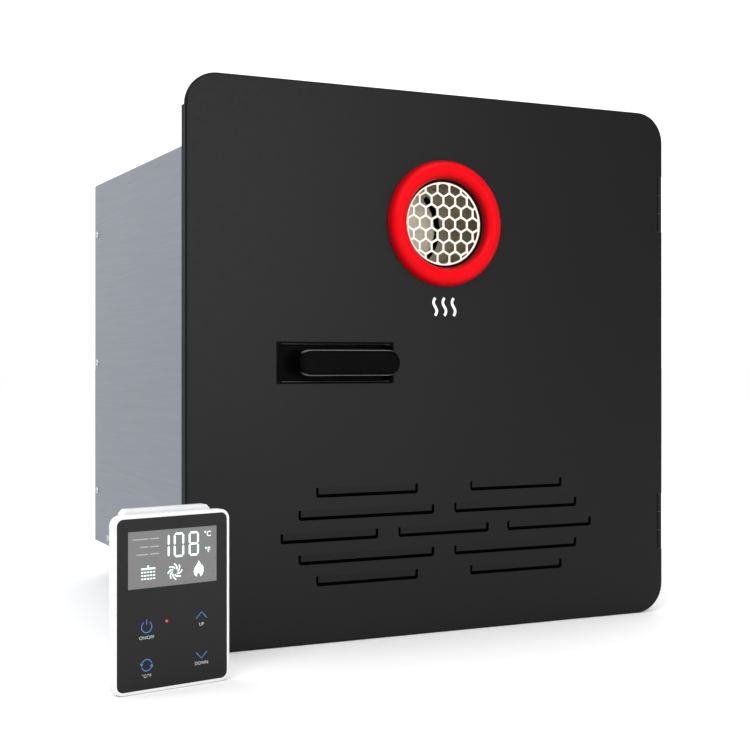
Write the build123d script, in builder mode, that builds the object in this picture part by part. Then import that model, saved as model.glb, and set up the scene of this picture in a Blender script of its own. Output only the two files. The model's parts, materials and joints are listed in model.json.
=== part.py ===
from build123d import *
import math
import os

# A wall-mounted tankless water heater, whose access door faces the front (-Y), and its controller.
# Origin: centre of the wall opening, in the plane of the wall skin. +X right, +Y into the wall, +Z up.

# Fits shared by every piece
overrun = 1.0  # how far a cut runs past what it cuts
seat_gap = 0.1  # round seats that are bonded or screwed
run_gap = 0.5  # pieces that pass each other
pin_gap = 0.05  # a pin and the bore it turns in

# Wall, frame and seals
wall_opening = 322.6
case_clearance = 2.3
flange_overlap = 24.7
gasket_t = 3.0
flange_t = 2.0
flange_corner_r = 24.0
flange_lip = 11.0
opening_corner_r = 3.0
collar_t = 1.2
collar_depth = 25.0
collar_corner_r = 2.0
frame_hole_r = 2.4
frame_hole_inset = 13.0
seal_w = 8.0
seal_set = 8.3
seal_gap = 0.3

# Door
door_overhang = 4.5
door_gap = 2.0
door_depth = 9.0
door_t = 2.0
door_wall_t = 1.5
door_rim_depth = 4.0
door_corner_r = 22.0
door_edge_r = 1.5

# Air louvres, by row: steps from the middle row, length of each, places across
louver_mid_z = -120.4
louver_pitch = 15.0
louver_h = 6.8
louver_slot = 2.3
louver_side_gap = 2.0
louver_corner_r = 2.0
louver_pair_x = 59.8
louver_trio_x = 88.2
long_louver = 103.5
short_louver = 77.7
mid_louver = 72.7
flap_t = 1.2
flap_root = 1.0
flap_set = 0.3
flap_angle = 4.0

# Hinges
hinge_z = 121.5
hinge_len = 42.0
hinge_edge = 2.0
hinge_sink = 2.8
hinge_pin_r = 1.25
knuckle_r = 2.5
knuckle_gap = 0.3
leaf_t = 1.2
leaf_len = 18.0
foot_len = 17.0
rivet_set = 11.0
rivet_r = 1.2
rivet_head_r = 2.4
rivet_head_h = 0.9

# Exhaust ring and guard
exhaust_drop = 59.5  # axis below the top of the case
ring_r = 44.6
ring_crown_r = 37.5
ring_in_r = 31.4
ring_rise = 8.5
ring_nose_drop = 8.0
ring_neck_r = 34.0
ring_lip_r = 36.5
ring_lip_t = 1.5
ring_ledge = 1.4
guard_r = 29.8
guard_t = 1.2
guard_set = 1.0
guard_rim = 1.5
guard_pitch = 9.5
guard_web = 1.5
guard_cell_share = 0.7  # how much of a cell's radius may lie past the rim

# Latch
dish_x = -83.8
dish_len = 87.4
dish_h = 28.4
dish_depth = 9.0
dish_wall = 1.5
dish_corner_r = 3.0
dish_edge_r = 0.6
dish_flange = 5.0
dish_flange_t = 1.5
cap_x = -75.8
cap_len = 75.0
cap_h = 17.6
cap_t = 7.5
cap_gap = 0.4
cap_edge_r = 2.4
stem_len = 40.0
stem_h = 7.0
latch_travel = 10.0
bolt_h = 14.0
bolt_t = 3.0
bolt_set = 0.6
bolt_clear = 3.2
bolt_tip_chamfer = 2.0
guide_w = 8.0
guide_t = 1.2
guide_foot = 6.0
guide_back = 1.5
latch_screw_pitch = 24.0
latch_screw_r = 1.5
latch_screw_len = 8.0
latch_screw_head_r = 3.0
latch_screw_head_h = 2.0

# Case
case_t = 1.0
case_len = 350.5
case_bend_r = 2.0
case_flange = 16.0
case_screw_edge = 8.9
case_screw_pitch = 114.0
floor_screw_edge = 46.0
floor_screw_front = 60.5
floor_screw_z = 6.4
case_screw_r = 1.6
case_screw_len = 7.0
case_screw_head_r = 2.8
case_screw_head_h = 1.5
case_screw_edge_r = 0.7

# Heat exchanger, flue hood and duct
hx_front = 82.0
hx_d = 130.0
hx_half = 75.0
hx_t = 1.0
hood_half = 31.0
hood_flat = 60.0
hood_rear_h = 26.0
hood_t = 1.0
fin_h = 32.0
fin_t = 0.6
fin_pitch = 6.0
fin_count = 24
chamber_h = 50.0
tube_r = 6.5
tube_pitch = 30.0
tube_bend_r = 11.0
tube_overhang = 20.0
tube_stub = 22.0
jacket_set = 9.0
jacket_pitch = 28.0
jacket_reach = 40.0
duct_r = 32.0
duct_t = 0.8
duct_gap = 1.5
duct_collar_r = 38.0
duct_collar_t = 1.2
duct_bead_r = 1.0
duct_bead_set = 6.0
baffle_set = 34.0
baffle_t = 1.0
baffle_slot_x = -15.0
baffle_slot_r = 30.0
baffle_slot_w = 4.5
baffle_slot_turn = 90.0
thermostat_r = 8.0
thermostat_h = 7.0
thermostat_rim_r = 11.0
thermostat_rim_t = 1.5
thermostat_pitch = 40.0

# Burner and its gas feed
tray_h = 30.0
tray_t = 1.0
tray_nose = 4.0
bar_count = 9
bar_pitch = 15.0
bar_t = 8.0
bar_front_gap = 4.0
bar_back_gap = 8.0
bar_top_gap = 5.0
bar_edge_r = 2.0
manifold_w = 14.0
manifold_gap = 3.0
manifold_side = 70.0
manifold_end = 84.0
jet_r = 2.0
jet_reach = 5.0
electrode_pitch = 24.0
electrode_r = 3.0
electrode_reach = 16.0
electrode_tail = 12.0
electrode_plate_h = 11.0
electrode_plate_w = 40.0
electrode_plate_t = 2.0
module_w = 26.0
module_d = 62.0
module_h = 48.0
module_y = 70.0
module_z = 0.0
module_edge_r = 3.0
module_stud_r = 4.0
module_stud_h = 8.0
stand_half = 62.0
stand_t = 1.5
stand_set = 13.0
stand_len = 52.0
stand_foot = 15.0

# Fan
fan_d = 44.0
fan_set = 7.0
fan_t = 1.2
fan_outlet_h = 42.0
volute_r = 32.0
volute_step = 4.0
tongue_x = 10.0
inlet_r = 22.0
wheel_r = 28.0
wheel_rim = 6.5
wheel_disc_t = 1.6
wheel_front_gap = 3.0
wheel_back_gap = 4.0
blade_count = 24
blade_t = 0.9
blade_angle = 35.0
hub_r = 7.0
hub_len = 15.0
shaft_r = 2.5
shaft_hole_r = 6.0
motor_r = 20.0
motor_len = 32.0
motor_edge_r = 3.0

# Gas valve
valve_x = 112.0
valve_w = 52.0
valve_pipe_set = 47.0
valve_d = 65.0
valve_h = 42.0
valve_edge_r = 3.0
solenoid_r = 11.0
solenoid_h = 27.0
solenoid_pitch = 25.0
solenoid_set = 17.0
solenoid_cap_r = 5.0
solenoid_cap_h = 4.0
gas_bend_r = 12.0
gas_port_r = 7.9
gas_bore_r = 5.0
gas_port_len = 20.0
gas_nut_half = 11.0
gas_nut_t = 7.0

# Water side
port_inset = 48.0
cold_rise = 43.0  # cold line above the case floor
nipple_r = 10.4
nipple_bore_r = 6.5
nipple_len = 24.0
nipple_hex_half = 14.0
nipple_hex_t = 8.0
nipple_tail = 12.0
nipple_tail_r = 9.5
nipple_nut_t = 6.0
sensor_r = 15.0
sensor_bore_r = 10.0
sensor_len = 46.0
spider_t = 3.0
spider_arm = 2.4
spider_hub_r = 3.0
spider_half = 11.0
rotor_r = 9.2
rotor_hub_r = 3.0
rotor_len = 14.0
rotor_axle_r = 1.0
rotor_vane_t = 1.2
rotor_vanes = 5
drain_front = 32.0
drain_len = 30.0
drain_r = 11.0
drain_spout_r = 7.0
drain_spout_len = 9.0
drain_boss_r = 6.0
drain_boss_h = 5.0
lever_len = 40.0
lever_w = 9.0
lever_t = 3.0
lever_stem_r = 3.0
lever_stem_len = 8.0
lever_gap = 0.4

# Electrics
box_front = 60.0
box_d = 120.0
box_w = 30.0
box_bottom_rise = 63.0  # above the case floor
box_h = 105.0
box_t = 2.0
box_edge_r = 2.0
cover_t = 2.0
board_t = 1.6
board_edge = 5.0
board_stand = 5.0
board_chip_h = 9.0
board_chip_w = 22.0
board_can_r = 6.0
board_can_h = 14.0
switch_x_half = 6.5
switch_z_half = 10.0
switch_depth = 14.0
switch_bezel = 2.0
switch_bezel_t = 1.5
switch_wall = 1.5
switch_drop = 24.0  # below the top of the control box
rocker_gap = 0.6
rocker_depth = 2.6
rocker_mid = 3.2
rocker_rise = 4.6
rocker_z_half = 7.4
rocker_back_half = 5.4
rocker_pivot = 1.5
rocker_tilt = 8.0
trunnion_r = 1.2
grommet_x = 105.0
grommet_z = 60.0
grommet_r = 9.0
grommet_groove_r = 7.0
grommet_bore_r = 4.5
grommet_lip = 3.0

# Controller, which stands by itself in front of the wall
controller_side = 32.8  # centre beyond the left edge of the door
controller_ahead = 79.2  # front face ahead of the door face
controller_yaw = 10.9
controller_w = 76.0
controller_h = 103.0
controller_d = 6.0
controller_corner_r = 6.0
controller_edge_r = 0.8
controller_rim = 1.9
controller_ledge = 2.0
controller_ledge_t = 1.5
glass_t = 1.5
display_w = 58.0
display_h = 33.0
display_top = 9.5
display_set = 0.1
panel_board_t = 1.6
back_plate_t = 1.2
back_plate_inset = 1.0
back_box_half = 28.5
back_box_d = 7.0
back_box_t = 1.5
back_box_rise = 2.6
back_box_chamfer = 2.4
key_hole_r = 2.1
key_hole_pitch = 60.0

# Levels that follow from the sizes above
case_size = wall_opening - 2 * case_clearance
case_half = case_size / 2
case_in = case_half - case_t
flange_size = wall_opening + 2 * flange_overlap
door_size = flange_size + 2 * door_overhang
door_half = door_size / 2
flange_back = -gasket_t
flange_front = flange_back - flange_t
door_back = flange_front - door_gap
door_front = door_back - door_depth
door_inside = door_front + door_t
case_back = flange_back + case_len
case_back_in = case_back - case_t
collar_half = case_in - seat_gap
opening_half = collar_half - collar_t - flange_lip
frame_hole_half = flange_size / 2 - frame_hole_inset
hinge_x = door_half - hinge_edge
hinge_y = door_front + hinge_sink
hinge_places = (-hinge_z, hinge_z)
knuckle_len = hinge_len / 3 - knuckle_gap
knuckle_step = hinge_len / 3
exhaust_z = case_in - exhaust_drop
guard_front = door_front + guard_set
guard_back = guard_front + guard_t
ring_lip_front = door_inside + seat_gap
ring_end = ring_lip_front + ring_lip_t
dish_floor = door_front + dish_depth
dish_back = dish_floor + dish_wall
cap_back = door_front - cap_gap
bolt_front = flange_back + bolt_set
bolt_back = bolt_front + bolt_t
bolt_tip = -(opening_half - bolt_clear)
hx_back = hx_front + hx_d
hx_mid = hx_front + hx_d / 2
hood_z = exhaust_z - hood_half
hood_top = exhaust_z + hood_half
fin_z = hood_z - fin_h
tube_z = fin_z + fin_h / 2
shell_z = fin_z - chamber_h
tray_z = shell_z - tray_h
fan_back = hx_front - fan_set
fan_front = fan_back - fan_d
fan_z = tray_z - fan_outlet_h
tube_places = [(hx_mid + step * tube_pitch, tube_z) for step in (-1.5, -0.5, 0.5, 1.5)]
jacket_half = hx_half + tube_r + seat_gap
jacket_front = hx_front - tube_r - seat_gap
jacket_back = hx_back + tube_r + seat_gap
jacket_z = shell_z + jacket_set
stub_x = hx_half + tube_stub
port_x = case_in - port_inset
cold_z = -case_in + cold_rise
valve_top = -case_in + valve_h
gas_port_z = -case_in + valve_h / 2
manifold_y = hx_back + manifold_gap + manifold_w / 2
manifold_z = tray_z + tray_h / 2
valve_front = manifold_y - valve_pipe_set
valve_back = valve_front + valve_d
sensor_back = case_back_in - nipple_tail
sensor_front = sensor_back - sensor_len
sensor_mid = sensor_front + sensor_len / 2
box_z = -case_in + box_bottom_rise
switch_x = -case_in + box_w / 2
switch_z = box_z + box_h - switch_drop
drain_back = drain_front + drain_len
lever_y = drain_front + drain_len / 2
floor_z = -door_half

case_screw_places = [(case_back - case_screw_edge, step * case_screw_pitch) for step in (-1, 0, 1)]
floor_screw_pitch = (case_len - floor_screw_edge - floor_screw_front) / 2
case_screw_places += [
    (case_back - floor_screw_edge - step * floor_screw_pitch, -case_half + floor_screw_z) for step in (0, 1, 2)
]
rivet_places = [(hinge_x - rivet_set, z + side * hinge_len / 4) for z in hinge_places for side in (-1, 1)]
latch_screw_places = [(cap_x + side * latch_screw_pitch / 2, 0) for side in (-1, 1)]
louver_pair = (-louver_pair_x, louver_pair_x)
louver_trio = (-louver_trio_x, 0, louver_trio_x)
louver_rows = [
    (2, short_louver, louver_pair),
    (1, long_louver, louver_pair),
    (0, mid_louver, louver_trio),
    (-1, long_louver, louver_pair),
    (-2, short_louver, louver_pair),
]


def facing(y):
    """Plane at depth y that faces the front: sketch x is X, sketch y is Z, and extrusions come forward."""
    return Plane.XZ.offset(-y)


def block(x, y, z, mode=Mode.ADD):
    """Square block between two values along each axis."""
    with BuildSketch(Plane.XY.offset(z[0])) as outline:
        with Locations(((x[0] + x[1]) / 2, (y[0] + y[1]) / 2)):
            Rectangle(x[1] - x[0], y[1] - y[0])
    extrude(outline.sketch, amount=z[1] - z[0], mode=mode)


def round_y(x, z, y, radius, mode=Mode.ADD):
    """Round bar or bore along Y."""
    with BuildSketch(facing(y[1])) as outline:
        with Locations((x, z)):
            Circle(radius)
    extrude(outline.sketch, amount=y[1] - y[0], mode=mode)


def round_z(x, y, z, radius, mode=Mode.ADD):
    """Round bar or bore along Z."""
    with BuildSketch(Plane.XY.offset(z[0])) as outline:
        with Locations((x, y)):
            Circle(radius)
    extrude(outline.sketch, amount=z[1] - z[0], mode=mode)


def holes_x(places, radius):
    """Bores along X through the whole case, at places given as (Y, Z)."""
    with BuildSketch(Plane.YZ.offset(-case_half - overrun)) as outline:
        with Locations(*places):
            Circle(radius)
    extrude(outline.sketch, amount=case_size + 2 * overrun, mode=Mode.SUBTRACT)


def holes_y(places, y, radius):
    """Bores along Y at places given as (X, Z)."""
    with BuildSketch(facing(y[1] + overrun)) as outline:
        with Locations(*places):
            Circle(radius)
    extrude(outline.sketch, amount=y[1] - y[0] + 2 * overrun, mode=Mode.SUBTRACT)


def square_ring(y, outer, inner, outer_r, inner_r):
    """Square ring round the wall opening, between two depths."""
    with BuildSketch(facing(y[1])) as outline:
        RectangleRounded(outer, outer, outer_r)
        RectangleRounded(inner, inner, inner_r, mode=Mode.SUBTRACT)
    extrude(outline.sketch, amount=y[1] - y[0])


def hexagon_y(x, z, y, half):
    """Hexagon bar along Y, by half its width across flats."""
    with BuildSketch(facing(y[1])) as outline:
        with Locations((x, z)):
            RegularPolygon(half, 6, major_radius=False)
    extrude(outline.sketch, amount=y[1] - y[0])


def pipe(points, bend_r):
    """Round water or gas pipe along straight runs with rounded bends."""
    with BuildLine() as route:
        FilletPolyline(*points, radius=bend_r)
    with BuildSketch(Plane(origin=route.line @ 0, z_dir=route.line % 0)) as outline:
        Circle(tube_r)
    sweep(outline.sketch, path=route.line)


def frame_holes(y):
    """Wall screw holes at the corners and mid-sides of the flange; the middle one falls in the opening."""
    with BuildSketch(facing(y[1] + overrun)) as outline:
        with GridLocations(frame_hole_half, frame_hole_half, 3, 3):
            Circle(frame_hole_r)
    extrude(outline.sketch, amount=y[1] - y[0] + 2 * overrun, mode=Mode.SUBTRACT)


# Wall frame and seals
with BuildPart() as mounting_frame:
    square_ring((flange_front, flange_back), flange_size, 2 * opening_half, flange_corner_r, opening_corner_r)
    square_ring(
        (flange_back, flange_back + collar_depth),
        2 * collar_half,
        2 * (collar_half - collar_t),
        collar_corner_r,
        collar_corner_r - collar_t,
    )
    frame_holes((flange_front, flange_back))
    holes_y(rivet_places, (flange_front, flange_back), rivet_r + seat_gap)

with BuildPart() as wall_gasket:
    square_ring((flange_back, 0), flange_size, case_size + 2 * run_gap, flange_corner_r, run_gap)
    frame_holes((flange_back, 0))

with BuildPart() as door_seal:
    square_ring(
        (door_inside + seal_gap, flange_front),
        2 * (opening_half + seal_set + seal_w),
        2 * (opening_half + seal_set),
        opening_corner_r + seal_w,
        opening_corner_r,
    )

# Door panel: a pressed tray with returned sides, louvres and cut-outs
with BuildPart() as door_panel:
    with BuildSketch(facing(door_back)):
        RectangleRounded(door_size, door_size, door_corner_r)
    extrude(amount=door_depth)
    fillet(door_panel.edges().group_by(Axis.Y)[0], door_edge_r)
    with BuildSketch(facing(door_back)):
        RectangleRounded(door_size - 2 * door_wall_t, door_size - 2 * door_wall_t, door_corner_r - door_wall_t)
    extrude(amount=door_depth - door_t, mode=Mode.SUBTRACT)
    with BuildSketch(facing(door_back)):
        with GridLocations(door_size, door_size, 2, 2):
            Rectangle(2 * door_corner_r, 2 * door_corner_r)
    extrude(amount=door_depth - door_rim_depth, mode=Mode.SUBTRACT)
    round_y(0, exhaust_z, (door_front - overrun, door_back), ring_neck_r + seat_gap, mode=Mode.SUBTRACT)
    block(
        (dish_x - dish_len / 2 - seat_gap, dish_x + dish_len / 2 + seat_gap),
        (door_front - overrun, door_back),
        (-dish_h / 2 - seat_gap, dish_h / 2 + seat_gap),
        mode=Mode.SUBTRACT,
    )
    for z in hinge_places:
        block(
            (hinge_x - knuckle_r - run_gap, door_half + overrun),
            (door_front - overrun, door_back + overrun),
            (z - hinge_len / 2 - run_gap, z + hinge_len / 2 + run_gap),
            mode=Mode.SUBTRACT,
        )
    flap_len = louver_h - louver_slot
    flap_front = door_front + flap_set
    flap_edge = flap_front + flap_len * math.tan(math.radians(flap_angle))
    for step, length, places in louver_rows:
        slot_z = louver_mid_z + step * louver_pitch - louver_slot / 2
        top_z = slot_z + louver_h
        flap_z = slot_z + louver_slot
        for x in places:
            with BuildSketch(facing(door_back)) as slot:
                with Locations((x, slot_z + louver_h / 2)):
                    Rectangle(length, louver_h)
                fillet(slot.vertices().group_by(Axis.Y)[0], louver_corner_r)
            extrude(amount=door_depth + overrun, mode=Mode.SUBTRACT)
            with BuildSketch(Plane.YZ.offset(x - length / 2 + louver_side_gap)):
                with BuildLine():
                    Polyline(
                        (flap_front, top_z + flap_root),
                        (flap_front, top_z),
                        (flap_edge, flap_z),
                        (flap_edge + flap_t, flap_z),
                        (door_inside, top_z),
                        (door_inside, top_z + flap_root),
                        close=True,
                    )
                make_face()
            extrude(amount=length - 2 * louver_side_gap)

# Hinges
with BuildPart() as door_hinge_leaves:
    for z in hinge_places:
        block(
            (hinge_x - leaf_len, hinge_x - knuckle_r - run_gap),
            (door_inside, door_inside + leaf_t),
            (z - hinge_len / 2, z + hinge_len / 2),
        )
        block(
            (hinge_x - leaf_len, hinge_x),
            (door_inside, door_inside + leaf_t),
            (z - knuckle_len / 2, z + knuckle_len / 2),
        )
        round_z(hinge_x, hinge_y, (z - knuckle_len / 2, z + knuckle_len / 2), knuckle_r)
        round_z(
            hinge_x, hinge_y, (z - hinge_len / 2, z + hinge_len / 2), hinge_pin_r + pin_gap, mode=Mode.SUBTRACT
        )

with BuildPart() as frame_hinge_leaves:
    for z in hinge_places:
        block(
            (hinge_x - foot_len, hinge_x + knuckle_r),
            (flange_front - leaf_t, flange_front),
            (z - hinge_len / 2, z + hinge_len / 2),
        )
        for side in (-1, 1):
            knuckle_z = z + side * knuckle_step
            knuckle_span = (knuckle_z - knuckle_len / 2, knuckle_z + knuckle_len / 2)
            block((hinge_x + knuckle_r - leaf_t, hinge_x + knuckle_r), (hinge_y, flange_front), knuckle_span)
            round_z(hinge_x, hinge_y, knuckle_span, knuckle_r)
        round_z(
            hinge_x, hinge_y, (z - hinge_len / 2, z + hinge_len / 2), hinge_pin_r + pin_gap, mode=Mode.SUBTRACT
        )
    holes_y(rivet_places, (flange_front - leaf_t, flange_front), rivet_r + seat_gap)

with BuildPart() as hinge_pins:
    for z in hinge_places:
        round_z(hinge_x, hinge_y, (z - hinge_len / 2, z + hinge_len / 2), hinge_pin_r)

with BuildPart() as hinge_rivets:
    for x, z in rivet_places:
        round_y(x, z, (flange_front - leaf_t, flange_back), rivet_r)
        round_y(x, z, (flange_front - leaf_t - rivet_head_h, flange_front - leaf_t), rivet_head_r)

# Red exhaust ring: a moulded crown outside, a neck through the door and a lip behind it
with BuildPart() as exhaust_ring:
    with BuildSketch(Plane.XY.offset(exhaust_z)):
        with BuildLine():
            crown = EllipticalCenterArc(
                (ring_crown_r, door_front), ring_r - ring_crown_r, ring_rise, start_angle=270, arc_size=90
            )
            nose = EllipticalCenterArc(
                (ring_crown_r, door_front - ring_rise + ring_nose_drop),
                ring_crown_r - ring_in_r,
                ring_nose_drop,
                start_angle=180,
                arc_size=90,
            )
            Polyline(
                (ring_in_r, door_front - ring_rise + ring_nose_drop),
                (guard_r + seat_gap, guard_front),
                (guard_r + seat_gap, guard_back),
                (guard_r - ring_ledge, guard_back),
                (guard_r - ring_ledge, ring_end),
                (ring_lip_r, ring_end),
                (ring_lip_r, ring_lip_front),
                (ring_neck_r, ring_lip_front),
                (ring_neck_r, door_front),
                (ring_r, door_front),
            )
        make_face()
    revolve(axis=Axis((0, 0, exhaust_z), (0, 1, 0)))

# Hexagon guard in the ring
cell_places = []
cell_row = guard_pitch * math.sqrt(3) / 2
cell_r = (guard_pitch - guard_web) / math.sqrt(3)
cell_limit = guard_r - guard_rim + guard_cell_share * cell_r
row_reach = math.ceil(cell_limit / cell_row)
for row in range(-row_reach, row_reach + 1):
    for column in range(-row_reach, row_reach + 1):
        cell_x = (column + (row + 1) % 2 / 2) * guard_pitch
        cell_z = row * cell_row
        if math.hypot(cell_x, cell_z) < cell_limit:
            cell_places.append((cell_x, exhaust_z + cell_z))

with BuildPart() as exhaust_guard:
    round_y(0, exhaust_z, (guard_front, guard_back), guard_r)
    with BuildSketch(facing(guard_back)):
        with Locations(*cell_places):
            RegularPolygon((guard_pitch - guard_web) / 2, 6, major_radius=False, rotation=30)
        with Locations((0, exhaust_z)):
            Circle(guard_r - guard_rim, mode=Mode.INTERSECT)
    extrude(amount=guard_t, mode=Mode.SUBTRACT)

# Latch: a dish in the door, a slider in the dish and a bolt behind it
with BuildPart() as latch_dish:
    with BuildSketch(facing(dish_back)):
        with Locations((dish_x, 0)):
            Rectangle(dish_len, dish_h)
    extrude(amount=dish_back - door_front)
    with BuildSketch(facing(door_inside + dish_flange_t)):
        with Locations((dish_x, 0)):
            RectangleRounded(dish_len + 2 * dish_flange, dish_h + 2 * dish_flange, dish_corner_r)
    extrude(amount=dish_flange_t)
    with BuildSketch(facing(dish_floor)):
        with Locations((dish_x, 0)):
            RectangleRounded(dish_len - 2 * dish_wall, dish_h - 2 * dish_wall, dish_corner_r)
    extrude(amount=dish_depth, mode=Mode.SUBTRACT)
    inner_rim = latch_dish.edges().group_by(Axis.Y)[0].filter_by(
        lambda edge: abs(edge.center().Z) < dish_h / 2 - dish_wall / 2
        and abs(edge.center().X - dish_x) < dish_len / 2 - dish_wall / 2
    )
    fillet(inner_rim, dish_edge_r)
    block(
        (cap_x - stem_len / 2 - latch_travel - run_gap, cap_x + stem_len / 2 + run_gap),
        (dish_floor - overrun, dish_back + overrun),
        (-stem_h / 2 - run_gap, stem_h / 2 + run_gap),
        mode=Mode.SUBTRACT,
    )

with BuildPart() as latch_slider:
    with BuildSketch(facing(cap_back)):
        with Locations((cap_x, 0)):
            SlotOverall(cap_len, cap_h)
    extrude(amount=cap_t)
    fillet(latch_slider.edges().group_by(Axis.Y)[0], cap_edge_r)
    block(
        (cap_x - stem_len / 2, cap_x + stem_len / 2), (cap_back, bolt_front), (-stem_h / 2, stem_h / 2)
    )
    holes_y(latch_screw_places, (bolt_back - latch_screw_len, bolt_front), latch_screw_r + seat_gap)

with BuildPart() as latch_bolt:
    block(
        (bolt_tip, cap_x + stem_len / 2), (bolt_front, bolt_back), (-bolt_h / 2, bolt_h / 2)
    )
    chamfer(latch_bolt.edges().filter_by(Axis.Y).group_by(Axis.X)[0], bolt_tip_chamfer)
    holes_y(latch_screw_places, (bolt_front, bolt_back), latch_screw_r + seat_gap)

with BuildPart() as latch_screws:
    for x, z in latch_screw_places:
        round_y(x, z, (bolt_back - latch_screw_len, bolt_back), latch_screw_r)
        round_y(x, z, (bolt_back, bolt_back + latch_screw_head_h), latch_screw_head_r)

guide_x = bolt_tip + guide_back
guide_half = bolt_h / 2 + run_gap
with BuildPart() as bolt_guide:
    with BuildSketch(Plane.YZ.offset(guide_x)):
        with Locations(((door_inside + bolt_back + run_gap + guide_t) / 2, 0)):
            Rectangle(bolt_back + run_gap + guide_t - door_inside, 2 * (guide_half + guide_t))
        with Locations((door_inside + guide_t / 2, 0)):
            Rectangle(guide_t, 2 * (guide_half + guide_t + guide_foot))
        with Locations(((door_inside + bolt_back + run_gap) / 2, 0)):
            Rectangle(bolt_back + run_gap - door_inside, 2 * guide_half, mode=Mode.SUBTRACT)
    extrude(amount=guide_w)

# Case sheets
with BuildPart() as case_wrap:
    with BuildSketch(facing(case_back)) as wrap_outline:
        Rectangle(case_size, case_size)
        fillet(wrap_outline.vertices().group_by(Axis.Y)[-1], case_bend_r)
        with Locations((0, (case_in - case_half - overrun) / 2)):
            Rectangle(2 * case_in, case_in + case_half + overrun, mode=Mode.SUBTRACT)
    extrude(amount=case_len)
    holes_x(case_screw_places, case_screw_r + seat_gap)

sheet_half = case_in - seat_gap
with BuildPart() as case_floor:
    block((-sheet_half, sheet_half), (flange_back, case_back_in), (-case_half, -case_in))
    for side in (-1, 1):
        block(
            sorted((side * sheet_half, side * (sheet_half - case_t))),
            (flange_back + collar_depth + run_gap, case_back - case_flange - run_gap),
            (-case_in, -case_half + case_flange),
        )
    holes_x(case_screw_places[3:], case_screw_r + seat_gap)

with BuildPart() as case_back_panel:
    block((-sheet_half, sheet_half), (case_back_in, case_back), (-case_half, sheet_half))
    block((-sheet_half, sheet_half), (case_back - case_flange, case_back), (-case_in, sheet_half))
    block(
        (-sheet_half + case_t, sheet_half - case_t),
        (case_back - case_flange - overrun, case_back_in),
        (-case_in + case_t, sheet_half - case_t),
        mode=Mode.SUBTRACT,
    )
    back_span = (case_back_in, case_back)
    holes_y([(-port_x, cold_z), (-port_x, tube_z)], back_span, nipple_tail_r + seat_gap)
    holes_y([(valve_x, gas_port_z)], back_span, gas_port_r + seat_gap)
    holes_y([(grommet_x, grommet_z)], back_span, grommet_groove_r + seat_gap)
    holes_x(case_screw_places[:3], case_screw_r + seat_gap)

with BuildPart() as case_screws:
    for side in (-1, 1):
        with BuildSketch(Plane.YZ.offset(side * case_half)):
            with Locations(*case_screw_places):
                Circle(case_screw_r)
        extrude(amount=-side * case_screw_len)
        with BuildSketch(Plane.YZ.offset(side * case_half)):
            with Locations(*case_screw_places):
                Circle(case_screw_head_r)
        extrude(amount=side * case_screw_head_h)
    fillet(case_screws.edges().filter_by(GeomType.CIRCLE).group_by(Axis.X)[0], case_screw_edge_r)
    fillet(case_screws.edges().filter_by(GeomType.CIRCLE).group_by(Axis.X)[-1], case_screw_edge_r)

with BuildPart() as cable_grommet:
    grommet_span = (case_back_in - grommet_lip, case_back + grommet_lip)
    round_y(grommet_x, grommet_z, grommet_span, grommet_groove_r)
    round_y(grommet_x, grommet_z, (case_back_in - grommet_lip, case_back_in), grommet_r)
    round_y(grommet_x, grommet_z, (case_back, case_back + grommet_lip), grommet_r)
    holes_y([(grommet_x, grommet_z)], grommet_span, grommet_bore_r)

# Exhaust duct, baffle and flue hood
duct_front = ring_end + duct_gap
with BuildPart() as exhaust_duct:
    round_y(0, exhaust_z, (duct_front, hx_front), duct_r)
    round_y(0, exhaust_z, (hx_front - duct_collar_t, hx_front), duct_collar_r)
    with BuildSketch(Plane.XY.offset(exhaust_z)):
        with Locations((duct_r, duct_front + duct_bead_set)):
            Circle(duct_bead_r)
    revolve(axis=Axis((0, 0, exhaust_z), (0, 1, 0)))
    holes_y([(0, exhaust_z)], (duct_front, hx_front), duct_r - duct_t)

with BuildPart() as flue_baffle:
    baffle_y = duct_front + baffle_set
    round_y(0, exhaust_z, (baffle_y, baffle_y + baffle_t), duct_r - duct_t - seat_gap)
    with BuildSketch(facing(baffle_y + baffle_t)):
        with BuildLine():
            slot_path = CenterArc(
                (baffle_slot_x, exhaust_z), baffle_slot_r, -baffle_slot_turn / 2, baffle_slot_turn
            )
        SlotArc(slot_path, baffle_slot_w)
    extrude(amount=baffle_t, mode=Mode.SUBTRACT)

with BuildPart() as flue_hood:
    with BuildSketch(Plane.YZ.offset(-hx_half)):
        with BuildLine():
            Polyline(
                (hx_front, hood_z),
                (hx_back, hood_z),
                (hx_back, hood_z + hood_rear_h),
                (hx_front + hood_flat, hood_top),
                (hx_front, hood_top),
                close=True,
            )
        make_face()
    extrude(amount=2 * hx_half)
    offset(amount=-hood_t, openings=flue_hood.faces().sort_by(Axis.Z)[0])
    round_y(0, exhaust_z, (hx_front - overrun, hx_front + 2 * hood_t), duct_r - duct_t, mode=Mode.SUBTRACT)

with BuildPart() as limit_thermostats:
    with BuildSketch(Plane.YZ.offset(hx_half)):
        with Locations((hx_mid, hood_z + hood_rear_h / 2), (hx_mid - thermostat_pitch, hood_z + hood_rear_h / 2)):
            Circle(thermostat_rim_r)
    extrude(amount=thermostat_rim_t)
    with BuildSketch(Plane.YZ.offset(hx_half)):
        with Locations((hx_mid, hood_z + hood_rear_h / 2), (hx_mid - thermostat_pitch, hood_z + hood_rear_h / 2)):
            Circle(thermostat_r)
    extrude(amount=thermostat_h)

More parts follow.
